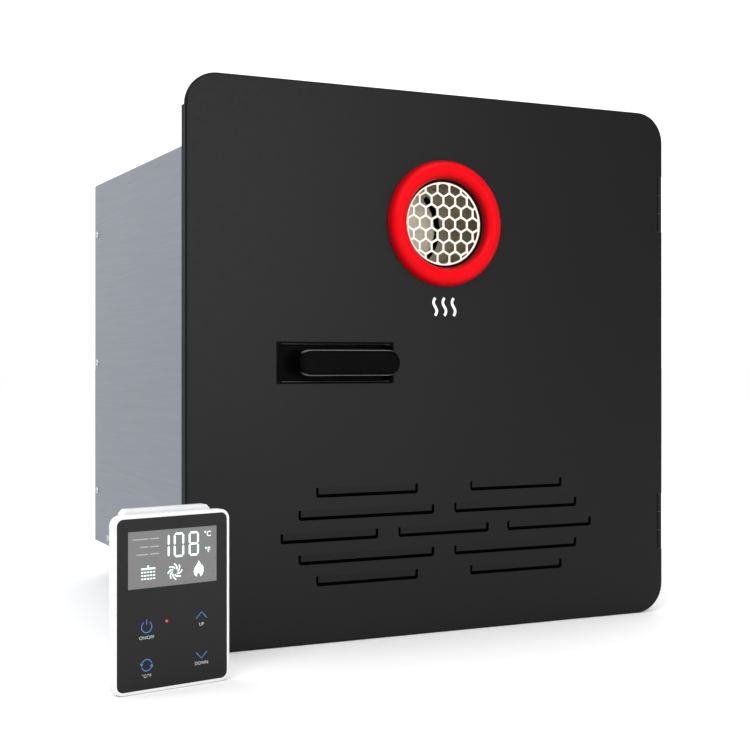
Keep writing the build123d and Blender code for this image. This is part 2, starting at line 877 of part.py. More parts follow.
# Heat exchanger
electrode_z = jacket_z + jacket_pitch / 2
electrode_places = [(-electrode_pitch / 2, electrode_z), (electrode_pitch / 2, electrode_z)]
shell_corner_r = tube_bend_r - tube_r
with BuildPart() as exchanger_shell:
    with BuildSketch(Plane.XY.offset(shell_z)):
        with Locations((0, hx_mid)):
            RectangleRounded(2 * hx_half, hx_d, shell_corner_r)
            RectangleRounded(
                2 * (hx_half - hx_t), hx_d - 2 * hx_t, shell_corner_r - hx_t, mode=Mode.SUBTRACT
            )
    extrude(amount=hood_z - shell_z)
    holes_x(tube_places, tube_r + seat_gap)
    holes_y(electrode_places, (hx_front, hx_front + hx_t), electrode_r + seat_gap)

fin_places = [(step - (fin_count - 1) / 2) * fin_pitch - fin_t / 2 for step in range(fin_count)]
with BuildPart() as exchanger_fins:
    with BuildSketch(*[Plane.YZ.offset(x) for x in fin_places]):
        with Locations((hx_mid, tube_z)):
            Rectangle(hx_d - 2 * hx_t - 2 * seat_gap, fin_h)
        with Locations(*tube_places):
            Circle(tube_r + seat_gap, mode=Mode.SUBTRACT)
    extrude(amount=fin_t)

tube_end = hx_half + tube_overhang
first_y, second_y, third_y, fourth_y = [y for y, z in tube_places]
with BuildPart() as exchanger_tubes:
    pipe(
        [
            (-stub_x, first_y, tube_z),
            (tube_end, first_y, tube_z),
            (tube_end, second_y, tube_z),
            (-tube_end, second_y, tube_z),
            (-tube_end, third_y, tube_z),
            (tube_end, third_y, tube_z),
            (tube_end, fourth_y, tube_z),
            (-stub_x, fourth_y, tube_z),
        ],
        tube_bend_r,
    )

jacket_top = jacket_z + jacket_pitch
riser_x = -hx_half - jacket_reach
with BuildPart() as jacket_tube:
    pipe(
        [
            (-stub_x, jacket_back, jacket_z),
            (jacket_half, jacket_back, jacket_z),
            (jacket_half, jacket_front, jacket_z),
            (-jacket_half, jacket_front, jacket_z),
            (-jacket_half, jacket_back, jacket_top),
            (jacket_half, jacket_back, jacket_top),
            (jacket_half, jacket_front, jacket_top),
            (riser_x, jacket_front, jacket_top),
            (riser_x, jacket_front, tube_z),
            (riser_x, first_y, tube_z),
            (-stub_x, first_y, tube_z),
        ],
        tube_bend_r,
    )

# Burner, its gas jets and its spark
jet_places = [((step - (bar_count - 1) / 2) * bar_pitch, manifold_z) for step in range(bar_count)]
volute_right = volute_step + volute_r + 2 * volute_step
with BuildPart() as burner_tray:
    tray_front = fan_front - tray_nose
    block((-hx_half, hx_half), (tray_front, hx_back), (tray_z, shell_z))
    block(
        (-hx_half + tray_t, hx_half - tray_t),
        (tray_front + tray_t, hx_back - tray_t),
        (tray_z + tray_t, shell_z - tray_t),
        mode=Mode.SUBTRACT,
    )
    block(
        (-hx_half + tray_t, hx_half - tray_t),
        (hx_front + tray_t, hx_back - tray_t),
        (shell_z - 2 * tray_t, shell_z + overrun),
        mode=Mode.SUBTRACT,
    )
    block(
        (tongue_x + fan_t, volute_right - fan_t),
        (fan_front + fan_t, fan_back - fan_t),
        (tray_z - overrun, tray_z + 2 * tray_t),
        mode=Mode.SUBTRACT,
    )
    holes_y(jet_places, (hx_back - tray_t, hx_back), jet_r + seat_gap)

with BuildPart() as burner_bars:
    for x, z in jet_places:
        block(
            (x - bar_t / 2, x + bar_t / 2),
            (hx_front + tray_t + bar_front_gap, hx_back - tray_t - bar_back_gap),
            (tray_z + tray_t, shell_z - bar_top_gap),
        )
    fillet(burner_bars.edges().filter_by(Axis.Y).group_by(Axis.Z)[-1], bar_edge_r)

with BuildPart() as gas_manifold:
    block(
        (-manifold_side, manifold_end),
        (manifold_y - manifold_w / 2, manifold_y + manifold_w / 2),
        (manifold_z - manifold_w / 2, manifold_z + manifold_w / 2),
    )
    for x, z in jet_places:
        round_y(x, z, (hx_back - tray_t - jet_reach, manifold_y), jet_r)

with BuildPart() as spark_electrodes:
    block(
        (-electrode_plate_w / 2, electrode_plate_w / 2),
        (hx_front - electrode_plate_t, hx_front),
        (electrode_z - electrode_plate_h / 2, electrode_z + electrode_plate_h / 2),
    )
    for x, z in electrode_places:
        round_y(x, z, (hx_front - electrode_tail, hx_front + electrode_reach), electrode_r)

with BuildPart() as spark_module:
    block((case_in - module_w, case_in), (module_y, module_y + module_d), (module_z, module_z + module_h))
    fillet(spark_module.edges().filter_by(Axis.Z).group_by(Axis.X)[0], module_edge_r)
    round_z(
        case_in - module_w / 2,
        module_y + module_d / 2,
        (module_z + module_h, module_z + module_h + module_stud_h),
        module_stud_r,
    )

with BuildPart() as burner_stand:
    stand_span = (hx_back - stand_set - stand_len, hx_back - stand_set)
    block((-stand_half, stand_half), stand_span, (tray_z - stand_t, tray_z))
    for side in (-1, 1):
        block(sorted((side * stand_half, side * (stand_half - stand_t))), stand_span, (-case_in, tray_z))
        block(
            sorted((side * (stand_half - stand_t), side * (stand_half + stand_foot))),
            stand_span,
            (-case_in, -case_in + stand_t),
        )

# Combustion fan: scroll of three quarter arcs whose centres step outwards
with BuildPart() as fan_housing:
    with BuildSketch(facing(fan_back)) as scroll:
        with BuildLine():
            CenterArc((0, fan_z), volute_r, 90, 90)
            CenterArc((volute_step, fan_z), volute_r + volute_step, 180, 90)
            CenterArc((volute_step, fan_z + volute_step), volute_r + 2 * volute_step, 270, 90)
            Polyline(
                (volute_right, fan_z + volute_step),
                (volute_right, tray_z),
                (tongue_x, tray_z),
                (tongue_x, fan_z + volute_r),
                (0, fan_z + volute_r),
            )
        make_face()
    extrude(amount=fan_d)
    with BuildSketch(facing(fan_back - fan_t)):
        add(scroll.sketch_local)
        offset(amount=-fan_t, mode=Mode.REPLACE)
    extrude(amount=fan_d - 2 * fan_t, mode=Mode.SUBTRACT)
    block(
        (tongue_x + fan_t, volute_right - fan_t),
        (fan_front + fan_t, fan_back - fan_t),
        (tray_z - 2 * fan_t, tray_z + overrun),
        mode=Mode.SUBTRACT,
    )
    round_y(0, fan_z, (fan_front - overrun, fan_front + 2 * fan_t), inlet_r, mode=Mode.SUBTRACT)
    round_y(0, fan_z, (fan_back - 2 * fan_t, fan_back + overrun), shaft_hole_r, mode=Mode.SUBTRACT)

wheel_front = fan_front + fan_t + wheel_front_gap
wheel_back = fan_back - fan_t - wheel_back_gap
with BuildPart() as fan_wheel:
    round_y(0, fan_z, (wheel_back - wheel_disc_t, wheel_back), wheel_r)
    with BuildSketch(facing(wheel_front + wheel_disc_t)):
        with Locations((0, fan_z)):
            Circle(wheel_r)
            Circle(wheel_r - wheel_rim, mode=Mode.SUBTRACT)
    extrude(amount=wheel_disc_t)
    with BuildSketch(facing(wheel_back - wheel_disc_t)):
        with Locations((0, fan_z)):
            with PolarLocations(wheel_r - wheel_rim / 2, blade_count):
                Rectangle(wheel_rim, blade_t, rotation=blade_angle)
            Circle(wheel_r, mode=Mode.INTERSECT)
    extrude(amount=wheel_back - wheel_front - 2 * wheel_disc_t)
    round_y(0, fan_z, (wheel_back - hub_len, wheel_back), hub_r)
    holes_y([(0, fan_z)], (wheel_back - hub_len, wheel_back), shaft_r + pin_gap)

with BuildPart() as fan_motor:
    round_y(0, fan_z, (fan_back, fan_back + motor_len), motor_r)
    fillet(fan_motor.edges().group_by(Axis.Y)[-1], motor_edge_r)
    round_y(0, fan_z, (wheel_back - hub_len, fan_back), shaft_r)

# Gas valve and its lines
solenoid_y = valve_front + solenoid_set
with BuildPart() as gas_valve:
    block(
        (valve_x - valve_w / 2, valve_x + valve_w / 2), (valve_front, valve_back), (-case_in, valve_top)
    )
    fillet(gas_valve.edges().filter_by(Axis.Z), valve_edge_r)

with BuildPart() as gas_solenoids:
    for side in (-1, 1):
        x = valve_x + side * solenoid_pitch / 2
        round_z(x, solenoid_y, (valve_top, valve_top + solenoid_h), solenoid_r)
        round_z(x, solenoid_y, (valve_top + solenoid_h, valve_top + solenoid_h + solenoid_cap_h), solenoid_cap_r)

with BuildPart() as gas_pipe:
    pipe(
        [(manifold_end, manifold_y, manifold_z), (valve_x, manifold_y, manifold_z), (valve_x, manifold_y, valve_top)],
        gas_bend_r,
    )

with BuildPart() as gas_inlet:
    round_y(valve_x, gas_port_z, (valve_back, case_back + gas_nut_t + gas_port_len), gas_port_r)
    hexagon_y(valve_x, gas_port_z, (case_back, case_back + gas_nut_t), gas_nut_half)
    holes_y([(valve_x, gas_port_z)], (valve_back, case_back + gas_nut_t + gas_port_len), gas_bore_r)

# Water side
def water_port(z):
    """Threaded nipple through the back panel, with a nut on each side."""
    round_y(-port_x, z, (sensor_back, case_back), nipple_tail_r)
    hexagon_y(-port_x, z, (case_back_in - nipple_nut_t, case_back_in), nipple_hex_half)
    hexagon_y(-port_x, z, (case_back, case_back + nipple_hex_t), nipple_hex_half)
    round_y(-port_x, z, (case_back + nipple_hex_t, case_back + nipple_len), nipple_r)
    holes_y([(-port_x, z)], (sensor_back, case_back + nipple_len), nipple_bore_r)


with BuildPart() as cold_inlet:
    water_port(cold_z)

with BuildPart() as hot_outlet:
    water_port(tube_z)

spider_places = (sensor_mid - spider_half, sensor_mid + spider_half)
with BuildPart() as flow_sensor:
    round_y(-port_x, cold_z, (sensor_front, sensor_back), sensor_r)
    holes_y([(-port_x, cold_z)], (sensor_front, sensor_back), sensor_bore_r)
    for y in spider_places:
        with BuildSketch(facing(y + spider_t / 2)):
            with Locations((-port_x, cold_z)):
                Rectangle(2 * sensor_bore_r + 2 * seat_gap, spider_arm)
                Rectangle(spider_arm, 2 * sensor_bore_r + 2 * seat_gap)
                Circle(spider_hub_r)
                Circle(rotor_axle_r + pin_gap, mode=Mode.SUBTRACT)
        extrude(amount=spider_t)

with BuildPart() as flow_rotor:
    with BuildSketch(facing(sensor_mid + rotor_len / 2)):
        with Locations((-port_x, cold_z)):
            with PolarLocations(rotor_r / 2, rotor_vanes):
                Rectangle(rotor_r, rotor_vane_t)
            Circle(rotor_hub_r)
            Circle(rotor_r, mode=Mode.INTERSECT)
    extrude(amount=rotor_len)
    round_y(
        -port_x, cold_z, (spider_places[0] - spider_t / 2, spider_places[1] + spider_t / 2), rotor_axle_r
    )

with BuildPart() as cold_pipe:
    round_y(-port_x, cold_z, (drain_back, sensor_front), tube_r)
    pipe(
        [(-port_x, jacket_back, cold_z), (-port_x, jacket_back, jacket_z), (-stub_x, jacket_back, jacket_z)],
        tube_bend_r,
    )

with BuildPart() as hot_pipe:
    pipe(
        [(-stub_x, fourth_y, tube_z), (-port_x, fourth_y, tube_z), (-port_x, sensor_back, tube_z)],
        tube_bend_r,
    )

boss_top = cold_z + drain_r + drain_boss_h
with BuildPart() as drain_valve:
    round_y(-port_x, cold_z, (drain_front, drain_back), drain_r)
    round_y(-port_x, cold_z, (drain_front - drain_spout_len, drain_front), drain_spout_r)
    round_z(-port_x, lever_y, (cold_z, boss_top), drain_boss_r)
    round_z(
        -port_x, lever_y, (boss_top - lever_stem_len, boss_top + overrun), lever_stem_r + pin_gap, mode=Mode.SUBTRACT
    )

with BuildPart() as drain_lever:
    lever_z = boss_top + lever_gap
    round_z(-port_x, lever_y, (boss_top - lever_stem_len + lever_gap, lever_z), lever_stem_r)
    with BuildSketch(Plane.XY.offset(lever_z)):
        with Locations((-port_x + lever_len / 2 - lever_w / 2, lever_y)):
            SlotOverall(lever_len, lever_w)
    extrude(amount=lever_t)

# Control box on the left side of the case
box_x = -case_in
box_span = (box_front, box_front + box_d)
with BuildPart() as control_box:
    block((box_x, box_x + box_w), box_span, (box_z, box_z + box_h))
    fillet(control_box.edges().filter_by(Axis.X), box_edge_r)
    block(
        (box_x + box_t, box_x + box_w + overrun),
        (box_front + box_t, box_front + box_d - box_t),
        (box_z + box_t, box_z + box_h - box_t),
        mode=Mode.SUBTRACT,
    )
    block(
        (switch_x - switch_x_half - seat_gap, switch_x + switch_x_half + seat_gap),
        (box_front - overrun, box_front + box_t + overrun),
        (switch_z - switch_z_half - seat_gap, switch_z + switch_z_half + seat_gap),
        mode=Mode.SUBTRACT,
    )
    for y in (box_front + box_d / 4, box_front + 3 * box_d / 4):
        block(
            (box_x + box_t, box_x + box_t + board_stand),
            (y - board_stand / 2, y + board_stand / 2),
            (box_z + box_t, box_z + box_t + 2 * board_stand),
        )

with BuildPart() as control_cover:
    block((box_x + box_w, box_x + box_w + cover_t), box_span, (box_z, box_z + box_h))
    fillet(control_cover.edges().filter_by(Axis.X), box_edge_r)

board_x = box_x + box_t + board_stand
board_front = box_front + box_t + switch_depth + board_edge
board_back = box_front + box_d - box_t - board_edge
board_z = (box_z + box_t + seat_gap, box_z + box_h - box_t - board_edge)
with BuildPart() as control_board:
    block((board_x, board_x + board_t), (board_front, board_back), board_z)
    block(
        (board_x + board_t, board_x + board_t + board_chip_h),
        (board_front + board_edge, board_front + board_edge + board_chip_w),
        (board_z[0] + board_edge, board_z[0] + board_edge + board_chip_w),
    )
    with BuildSketch(Plane.YZ.offset(board_x + board_t)):
        with Locations(
            (board_back - board_chip_w, board_z[1] - board_chip_w),
            (board_back - board_chip_w, board_z[0] + board_chip_w),
        ):
            Circle(board_can_r)
    extrude(amount=board_can_h)

pocket_x = switch_x_half - switch_wall
pocket_z = switch_z_half - switch_wall
pivot_y = box_front + rocker_pivot
with BuildPart() as power_switch:
    block(
        (switch_x - switch_x_half, switch_x + switch_x_half),
        (box_front, box_front + switch_depth),
        (switch_z - switch_z_half, switch_z + switch_z_half),
    )
    block(
        (switch_x - switch_x_half - switch_bezel, switch_x + switch_x_half + switch_bezel),
        (box_front - switch_bezel_t, box_front),
        (switch_z - switch_z_half - switch_bezel, switch_z + switch_z_half + switch_bezel),
    )
    block(
        (switch_x - pocket_x, switch_x + pocket_x),
        (box_front - switch_bezel_t - overrun, box_front + switch_depth - switch_wall),
        (switch_z - pocket_z, switch_z + pocket_z),
        mode=Mode.SUBTRACT,
    )
    with BuildSketch(Plane.YZ.offset(switch_x - switch_x_half - overrun)):
        with Locations((pivot_y, switch_z)):
            Circle(trunnion_r + pin_gap)
    extrude(amount=2 * switch_x_half + 2 * overrun, mode=Mode.SUBTRACT)

rocker_x = switch_x - pocket_x + rocker_gap
rocker_plane = Plane(
    origin=(rocker_x, pivot_y, switch_z),
    x_dir=(0, math.cos(math.radians(rocker_tilt)), math.sin(math.radians(rocker_tilt))),
    z_dir=(1, 0, 0),
)
with BuildPart() as power_rocker:
    with BuildSketch(rocker_plane):
        with BuildLine():
            Polyline(
                (-rocker_mid, 0),
                (-rocker_rise, rocker_z_half),
                (rocker_depth, rocker_back_half),
                (rocker_depth, -rocker_back_half),
                (-rocker_rise, -rocker_z_half),
                close=True,
            )
        make_face()
    extrude(amount=2 * (pocket_x - rocker_gap))
    with BuildSketch(Plane.YZ.offset(switch_x - switch_x_half)):
        with Locations((pivot_y, switch_z)):
            Circle(trunnion_r)
    extrude(amount=2 * switch_x_half)

# Controller
yaw = math.radians(controller_yaw)
controller_x = -door_half - controller_side
controller_y = door_front - controller_ahead


def panel(depth):
    """Plane of the controller at a depth behind its face: sketch x is its width, sketch y its height."""
    return Plane(
        origin=(controller_x - depth * math.sin(yaw), controller_y + depth * math.cos(yaw), floor_z),
        x_dir=(math.cos(yaw), math.sin(yaw), 0),
        z_dir=(math.sin(yaw), -math.cos(yaw), 0),
    )


half_h = controller_h / 2
glass_w = controller_w - 2 * controller_rim
glass_h = controller_h - 2 * controller_rim
glass_r = controller_corner_r - controller_rim
board_front_depth = glass_t + controller_ledge_t
display_v = controller_h - display_top - display_h / 2
with BuildPart() as controller_case:
    with BuildSketch(panel(controller_d)):
        with Locations((0, half_h)):
            RectangleRounded(controller_w, controller_h, controller_corner_r)
    extrude(amount=controller_d)
    fillet(controller_case.faces().sort_by(Axis(panel(0).origin, panel(0).z_dir))[-1].edges(), controller_edge_r)
    with BuildSketch(panel(glass_t)):
        with Locations((0, half_h)):
            RectangleRounded(glass_w, glass_h, glass_r)
    extrude(amount=glass_t, mode=Mode.SUBTRACT)
    with BuildSketch(panel(controller_d)):
        with Locations((0, half_h)):
            RectangleRounded(
                glass_w - 2 * controller_ledge, glass_h - 2 * controller_ledge, glass_r - controller_ledge
            )
    extrude(amount=controller_d, mode=Mode.SUBTRACT)
    with BuildSketch(panel(controller_d)):
        with Locations((0, half_h)):
            RectangleRounded(glass_w, glass_h, glass_r)
    extrude(amount=controller_d - board_front_depth, mode=Mode.SUBTRACT)

with BuildPart() as controller_glass:
    with BuildSketch(panel(glass_t)):
        with Locations((0, half_h)):
            RectangleRounded(glass_w - 2 * seat_gap, glass_h - 2 * seat_gap, glass_r)
        with Locations((0, display_v)):
            Rectangle(display_w + 2 * seat_gap, display_h + 2 * seat_gap, mode=Mode.SUBTRACT)
    extrude(amount=glass_t)

with BuildPart() as controller_display:
    with BuildSketch(panel(board_front_depth)):
        with Locations((0, display_v)):
            Rectangle(display_w, display_h)
    extrude(amount=board_front_depth - display_set)

with BuildPart() as controller_board:
    with BuildSketch(panel(board_front_depth + panel_board_t)):
        with Locations((0, half_h)):
            RectangleRounded(glass_w - 2 * run_gap, glass_h - 2 * run_gap, glass_r)
    extrude(amount=panel_board_t)

box_back = controller_d + back_plate_t + back_box_d
box_top = controller_h + back_box_rise
with BuildPart() as controller_back:
    with BuildSketch(panel(controller_d + back_plate_t)):
        with Locations((0, half_h)):
            RectangleRounded(
                controller_w - 2 * back_plate_inset, controller_h - 2 * back_plate_inset, controller_corner_r
            )
    extrude(amount=back_plate_t)
    with BuildSketch(panel(box_back)) as box_outline:
        with Locations((0, box_top / 2)):
            Rectangle(2 * back_box_half, box_top)
        chamfer(box_outline.vertices().group_by(Axis.Y)[-1], back_box_chamfer)
    extrude(amount=back_box_d)
    with BuildSketch(panel(box_back - back_box_t)):
        with Locations((0, half_h)):
            Rectangle(2 * (back_box_half - back_box_t), controller_h - 4 * back_box_t)
    extrude(amount=back_box_d, mode=Mode.SUBTRACT)
    with BuildSketch(panel(box_back + overrun)):
        with Locations((0, half_h)):
            with GridLocations(key_hole_pitch, key_hole_pitch, 1, 2):
                Circle(key_hole_r)
    extrude(amount=back_box_t + 2 * overrun, mode=Mode.SUBTRACT)

# Name and write every piece
pieces = {
    "mounting_frame": mounting_frame,
    "wall_gasket": wall_gasket,
    "door_seal": door_seal,
    "door_panel": door_panel,
    "door_hinge_leaves": door_hinge_leaves,
    "frame_hinge_leaves": frame_hinge_leaves,
    "hinge_pins": hinge_pins,
    "hinge_rivets": hinge_rivets,
    "exhaust_ring": exhaust_ring,
    "exhaust_guard": exhaust_guard,
    "latch_dish": latch_dish,
    "latch_slider": latch_slider,
    "latch_bolt": latch_bolt,
    "latch_screws": latch_screws,
    "bolt_guide": bolt_guide,
    "case_wrap": case_wrap,
    "case_floor": case_floor,
    "case_back": case_back_panel,
    "case_screws": case_screws,
    "cable_grommet": cable_grommet,
    "exhaust_duct": exhaust_duct,
    "flue_baffle": flue_baffle,
    "flue_hood": flue_hood,
    "limit_thermostats": limit_thermostats,
    "exchanger_shell": exchanger_shell,
    "exchanger_fins": exchanger_fins,
    "exchanger_tubes": exchanger_tubes,
    "jacket_tube": jacket_tube,
    "burner_tray": burner_tray,
    "burner_bars": burner_bars,
    "gas_manifold": gas_manifold,
    "spark_electrodes": spark_electrodes,
    "spark_module": spark_module,
    "burner_stand": burner_stand,
    "fan_housing": fan_housing,
    "fan_wheel": fan_wheel,
    "fan_motor": fan_motor,
    "gas_valve": gas_valve,
    "gas_solenoids": gas_solenoids,
    "gas_pipe": gas_pipe,
    "gas_inlet": gas_inlet,
    "cold_inlet": cold_inlet,
    "hot_outlet": hot_outlet,
    "flow_sensor": flow_sensor,
    "flow_rotor": flow_rotor,
    "cold_pipe": cold_pipe,
    "hot_pipe": hot_pipe,
    "drain_valve": drain_valve,
    "drain_lever": drain_lever,
    "control_box": control_box,
    "control_cover": control_cover,
    "control_board": control_board,
    "power_switch": power_switch,
    "power_rocker": power_rocker,
    "controller_case": controller_case,
    "controller_glass": controller_glass,
    "controller_display": controller_display,
    "controller_board": controller_board,
    "controller_back": controller_back,
}
os.makedirs("parts", exist_ok=True)
for name, piece in pieces.items():
    piece.part.label = name
    export_step(piece.part, f"parts/{name}.step")
    print(name, len(piece.part.solids()), round(piece.part.volume), piece.part.is_valid)
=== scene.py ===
import json
import math

import bmesh
import bpy
from mathutils import Matrix, Vector


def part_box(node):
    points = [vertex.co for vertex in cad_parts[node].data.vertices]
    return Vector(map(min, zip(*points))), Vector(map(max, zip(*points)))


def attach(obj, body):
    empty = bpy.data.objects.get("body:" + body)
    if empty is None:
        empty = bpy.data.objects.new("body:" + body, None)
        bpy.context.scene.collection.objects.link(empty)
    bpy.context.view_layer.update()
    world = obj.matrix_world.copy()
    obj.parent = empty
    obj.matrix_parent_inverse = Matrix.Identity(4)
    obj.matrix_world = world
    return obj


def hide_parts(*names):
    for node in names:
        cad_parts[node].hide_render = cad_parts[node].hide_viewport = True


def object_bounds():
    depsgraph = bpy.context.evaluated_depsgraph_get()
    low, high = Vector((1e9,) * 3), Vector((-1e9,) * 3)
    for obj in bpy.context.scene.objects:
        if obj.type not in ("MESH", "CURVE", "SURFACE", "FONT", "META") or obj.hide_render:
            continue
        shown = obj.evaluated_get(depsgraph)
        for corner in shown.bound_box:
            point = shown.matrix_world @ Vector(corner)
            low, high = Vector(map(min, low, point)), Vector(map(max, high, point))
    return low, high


# A tankless water heater and its controller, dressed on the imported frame. Lengths are in metres.
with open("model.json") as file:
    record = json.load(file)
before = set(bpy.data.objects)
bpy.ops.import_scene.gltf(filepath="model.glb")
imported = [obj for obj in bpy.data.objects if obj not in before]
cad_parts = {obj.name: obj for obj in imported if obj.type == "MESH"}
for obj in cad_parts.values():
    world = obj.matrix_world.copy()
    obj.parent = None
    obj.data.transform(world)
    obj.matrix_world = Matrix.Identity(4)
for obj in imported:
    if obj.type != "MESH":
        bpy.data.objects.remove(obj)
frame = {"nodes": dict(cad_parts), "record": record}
cad_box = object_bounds()
nodes = frame["nodes"]
mounts = {mount["name"]: mount for mount in frame["record"]["mounts"]}
mm = 0.001
past_end = 1.0 * mm  # how far a cutter runs past what it cuts

# Camera, at the photograph's viewing angle
image_px = 750
focal_px = 1361.5
horizon_px = 361.5
sensor = 36.0
camera_place = Vector((-0.4613, -0.8643, 0.0009))
camera_heading = math.radians(25.62)

# Exhaust ring, with painted shade at its inner and outer edges, and a black sleeve standing for the shade in its
# throat
ring_r = 44.6 * mm
ring_crown_r = 37.5 * mm
ring_in_r = 31.4 * mm
ring_rise = 8.5 * mm
ring_nose_drop = 8.0 * mm
ring_neck_r = 34.0 * mm
ring_ledge = 1.4 * mm
ring_steps = 160
ring_outer_steps = 16
ring_inner_steps = 12
# painted shade at the inner edge and at the outer edge of the ring
ring_painted_shade_start = 1.7 * mm
ring_painted_shade_end = -0.4 * mm
ring_painted_shade = 0.95
ring_edge_painted_shade_reach = 3.0 * mm
ring_edge_painted_shade = 0.6
# thickness of the sleeve that stands for the shade in the throat
throat_shade_t = 0.3 * mm

# Hexagon guard in the ring
guard_r = 29.8 * mm
guard_hole_r = 28.3 * mm
guard_pitch = 9.5 * mm
guard_web = 1.5 * mm
guard_round = 0.35 * mm
guard_part_share = 0.7
guard_steps = 96

# Heat mark under the exhaust: wavy strokes
heat_z = 39.6 * mm
heat_h = 12.5 * mm
heat_pitch = 7.4 * mm
heat_swing = 1.3 * mm
heat_w = 1.9 * mm
heat_count = 3
heat_steps = 28

# Insect screen behind the louvres, a near-black sheet that also stands for the shade behind the slots
door_t = 2.0 * mm
screen_lift = 2.6 * mm
screen_t = 0.4 * mm
screen_rim = 1.4 * mm
screen_half = 128.0 * mm
screen_low, screen_high = -153.0 * mm, -79.0 * mm

# Threads of the pipe fittings
thread_pitch = 1.8 * mm
thread_depth = 0.75 * mm
thread_over = 0.15 * mm
thread_share = 0.46
thread_lead = 1.5
thread_steps = 72

# Washers at the ends of the hinge pins
washer_r = 2.5 * mm
washer_t = 0.4 * mm
washer_gap = 0.02 * mm
washer_steps = 32

# Case screws: the dome is given as shares of the head's radius and height
screw_r = 2.8 * mm
screw_h = 1.5 * mm
screw_cross = 1.7 * mm
screw_cross_w = 0.6 * mm
screw_cross_depth = 0.8 * mm
screw_apart = 4 * screw_r
screw_steps = 32
screw_dome = [(0.35, 0.99), (0.62, 0.93), (0.83, 0.78), (0.95, 0.52), (1.0, 0.2), (1.0, 0.0)]

# Prints
print_t = 0.05 * mm
stroke_w = 0.56 * mm
word_h = 2.7 * mm
icon_r = 3.3 * mm
led_r = 0.8 * mm
led_steps = 20
arrow_half_w, arrow_half_h = 3.6 * mm, 1.9 * mm
barb_r = 1.3 * mm
power_arc = (125, 415)
power_bar = (0.4, 1.3)
cycle_starts = (20, 200)
cycle_arc, cycle_barb = 135, 150

# Places on the controller's glass, as shares from its top left corner
key_left, key_right = 0.26, 0.76
led_across, led_down = 0.44, 0.615
power_down, power_word_down = 0.635, 0.698
scale_down, scale_word_down = 0.858, 0.922
up_down, up_word_down = 0.605, 0.66
down_down, down_word_down = 0.845, 0.892

# Places and sizes on the display, places as shares from its top left corner
figure_w, figure_h, figure_t = 5.6 * mm, 13.2 * mm, 1.15 * mm
figure_fill = 0.9
figure_down = 0.29
figure_places = (("1", 0.40), ("0", 0.565), ("8", 0.735))
row_end = 0.34
row_gap = 0.02
row_t = 0.7 * mm
row_places = ((0.14, 0.17, 0.10), (0.28, 0.09, 0.10), (0.41, 0.13, 0.10))
degree_across = 0.895
degree_h = 4.4 * mm
degree_places = (("display_celsius", "°C", 0.14), ("display_fahrenheit", "°F", 0.43))
sign_down = 0.76
spray_across, fan_across, flame_across = 0.22, 0.52, 0.79
spray_w, spray_t = 9.0 * mm, 0.9 * mm
spray_head, spray_stem, spray_stem_h = 3.2 * mm, 4.3 * mm, 1.4 * mm
drop_rows, drop_columns = 3, 5
drop_pitch, drop_top = 1.9 * mm, 1.2 * mm
drop_w, drop_h = 1.2 * mm, 0.7 * mm
blade_count = 8
blade_in, blade_out = 1.7 * mm, 4.7 * mm
blade_w = 0.72 * mm
blade_turn = 0.95
blade_steps = 8
flame_outline = [
    (0.0, 5.2), (1.1, 3.6), (1.5, 2.2), (2.3, 2.6), (3.1, 0.9), (3.3, -1.2), (2.6, -3.2), (1.2, -4.3), (0.9, -2.9),
    (0.0, -1.6), (-1.1, -2.9), (-1.2, -4.3), (-2.7, -3.1), (-3.3, -1.0), (-2.6, 1.0), (-1.3, 2.6), (-0.4, 4.0),
]

# Stage: the sky's strength in front runs from left to right
floor_half = 30.0
floor_drop = 0.2 * mm
floor_white = (0.92, 0.92, 0.92)
sky_left, sky_right, sky_behind = 0.84, 0.36, 1.34
sky_turn_x = (0.1, 0.75)
sky_turn_y = (-0.4, 0.3)

# Finishes: where most of the noise lies, and the spans over which facing and edges turn into colour
noise_span = (0.3, 0.7)
# span of up- or down-facing over which the painted highlight comes in
painted_highlight_span = (0.7, 0.95)
side_span = (0.6, 0.98)
edge_span = (0.99, 0.85)
wear_scale, wear_least = 320, 0.2
cloud_scale, cloud_most, cloud_lift = 9, 0.3, 1.2
sheen_scale, sheen_less, sheen_more = 240, 0.02, 0.03
peel_scale, peel_strength, peel_depth = 1400, 0.10, 0.2 * mm
patch_scale = 14
mottle_scale, mottle_most = 35, 0.3
gloss_scale, gloss_less, gloss_more = 120, 0.05, 0.07
spark_strength, grain_depth = 0.08, 0.1 * mm
paint_edge, paint_wear = 0.8 * mm, 0.5
plastic_edge, plastic_wear = 0.6 * mm, 0.6

# Meshes
sharp_angle = math.radians(32)
weld = 0.001 * mm


def srgb(red, green, blue):
    """Linear colour of an 8-bit screen colour."""
    shares = [c / 255 for c in (red, green, blue)]
    return tuple(((c + 0.055) / 1.055) ** 2.4 if c > 0.04 else c / 12.92 for c in shares)


def lighter(colour, factor, lift):
    """Paler shade of a colour."""
    return tuple(min(1.0, c * factor + lift) for c in colour)


def map_range(tree, value, start, end, low, high):
    """Node that maps a value from start..end to low..high."""
    ranged = tree.nodes.new("ShaderNodeMapRange")
    for name, number in (("From Min", start), ("From Max", end), ("To Min", low), ("To Max", high)):
        ranged.inputs[name].default_value = number
    tree.links.new(value, ranged.inputs["Value"])
    return ranged


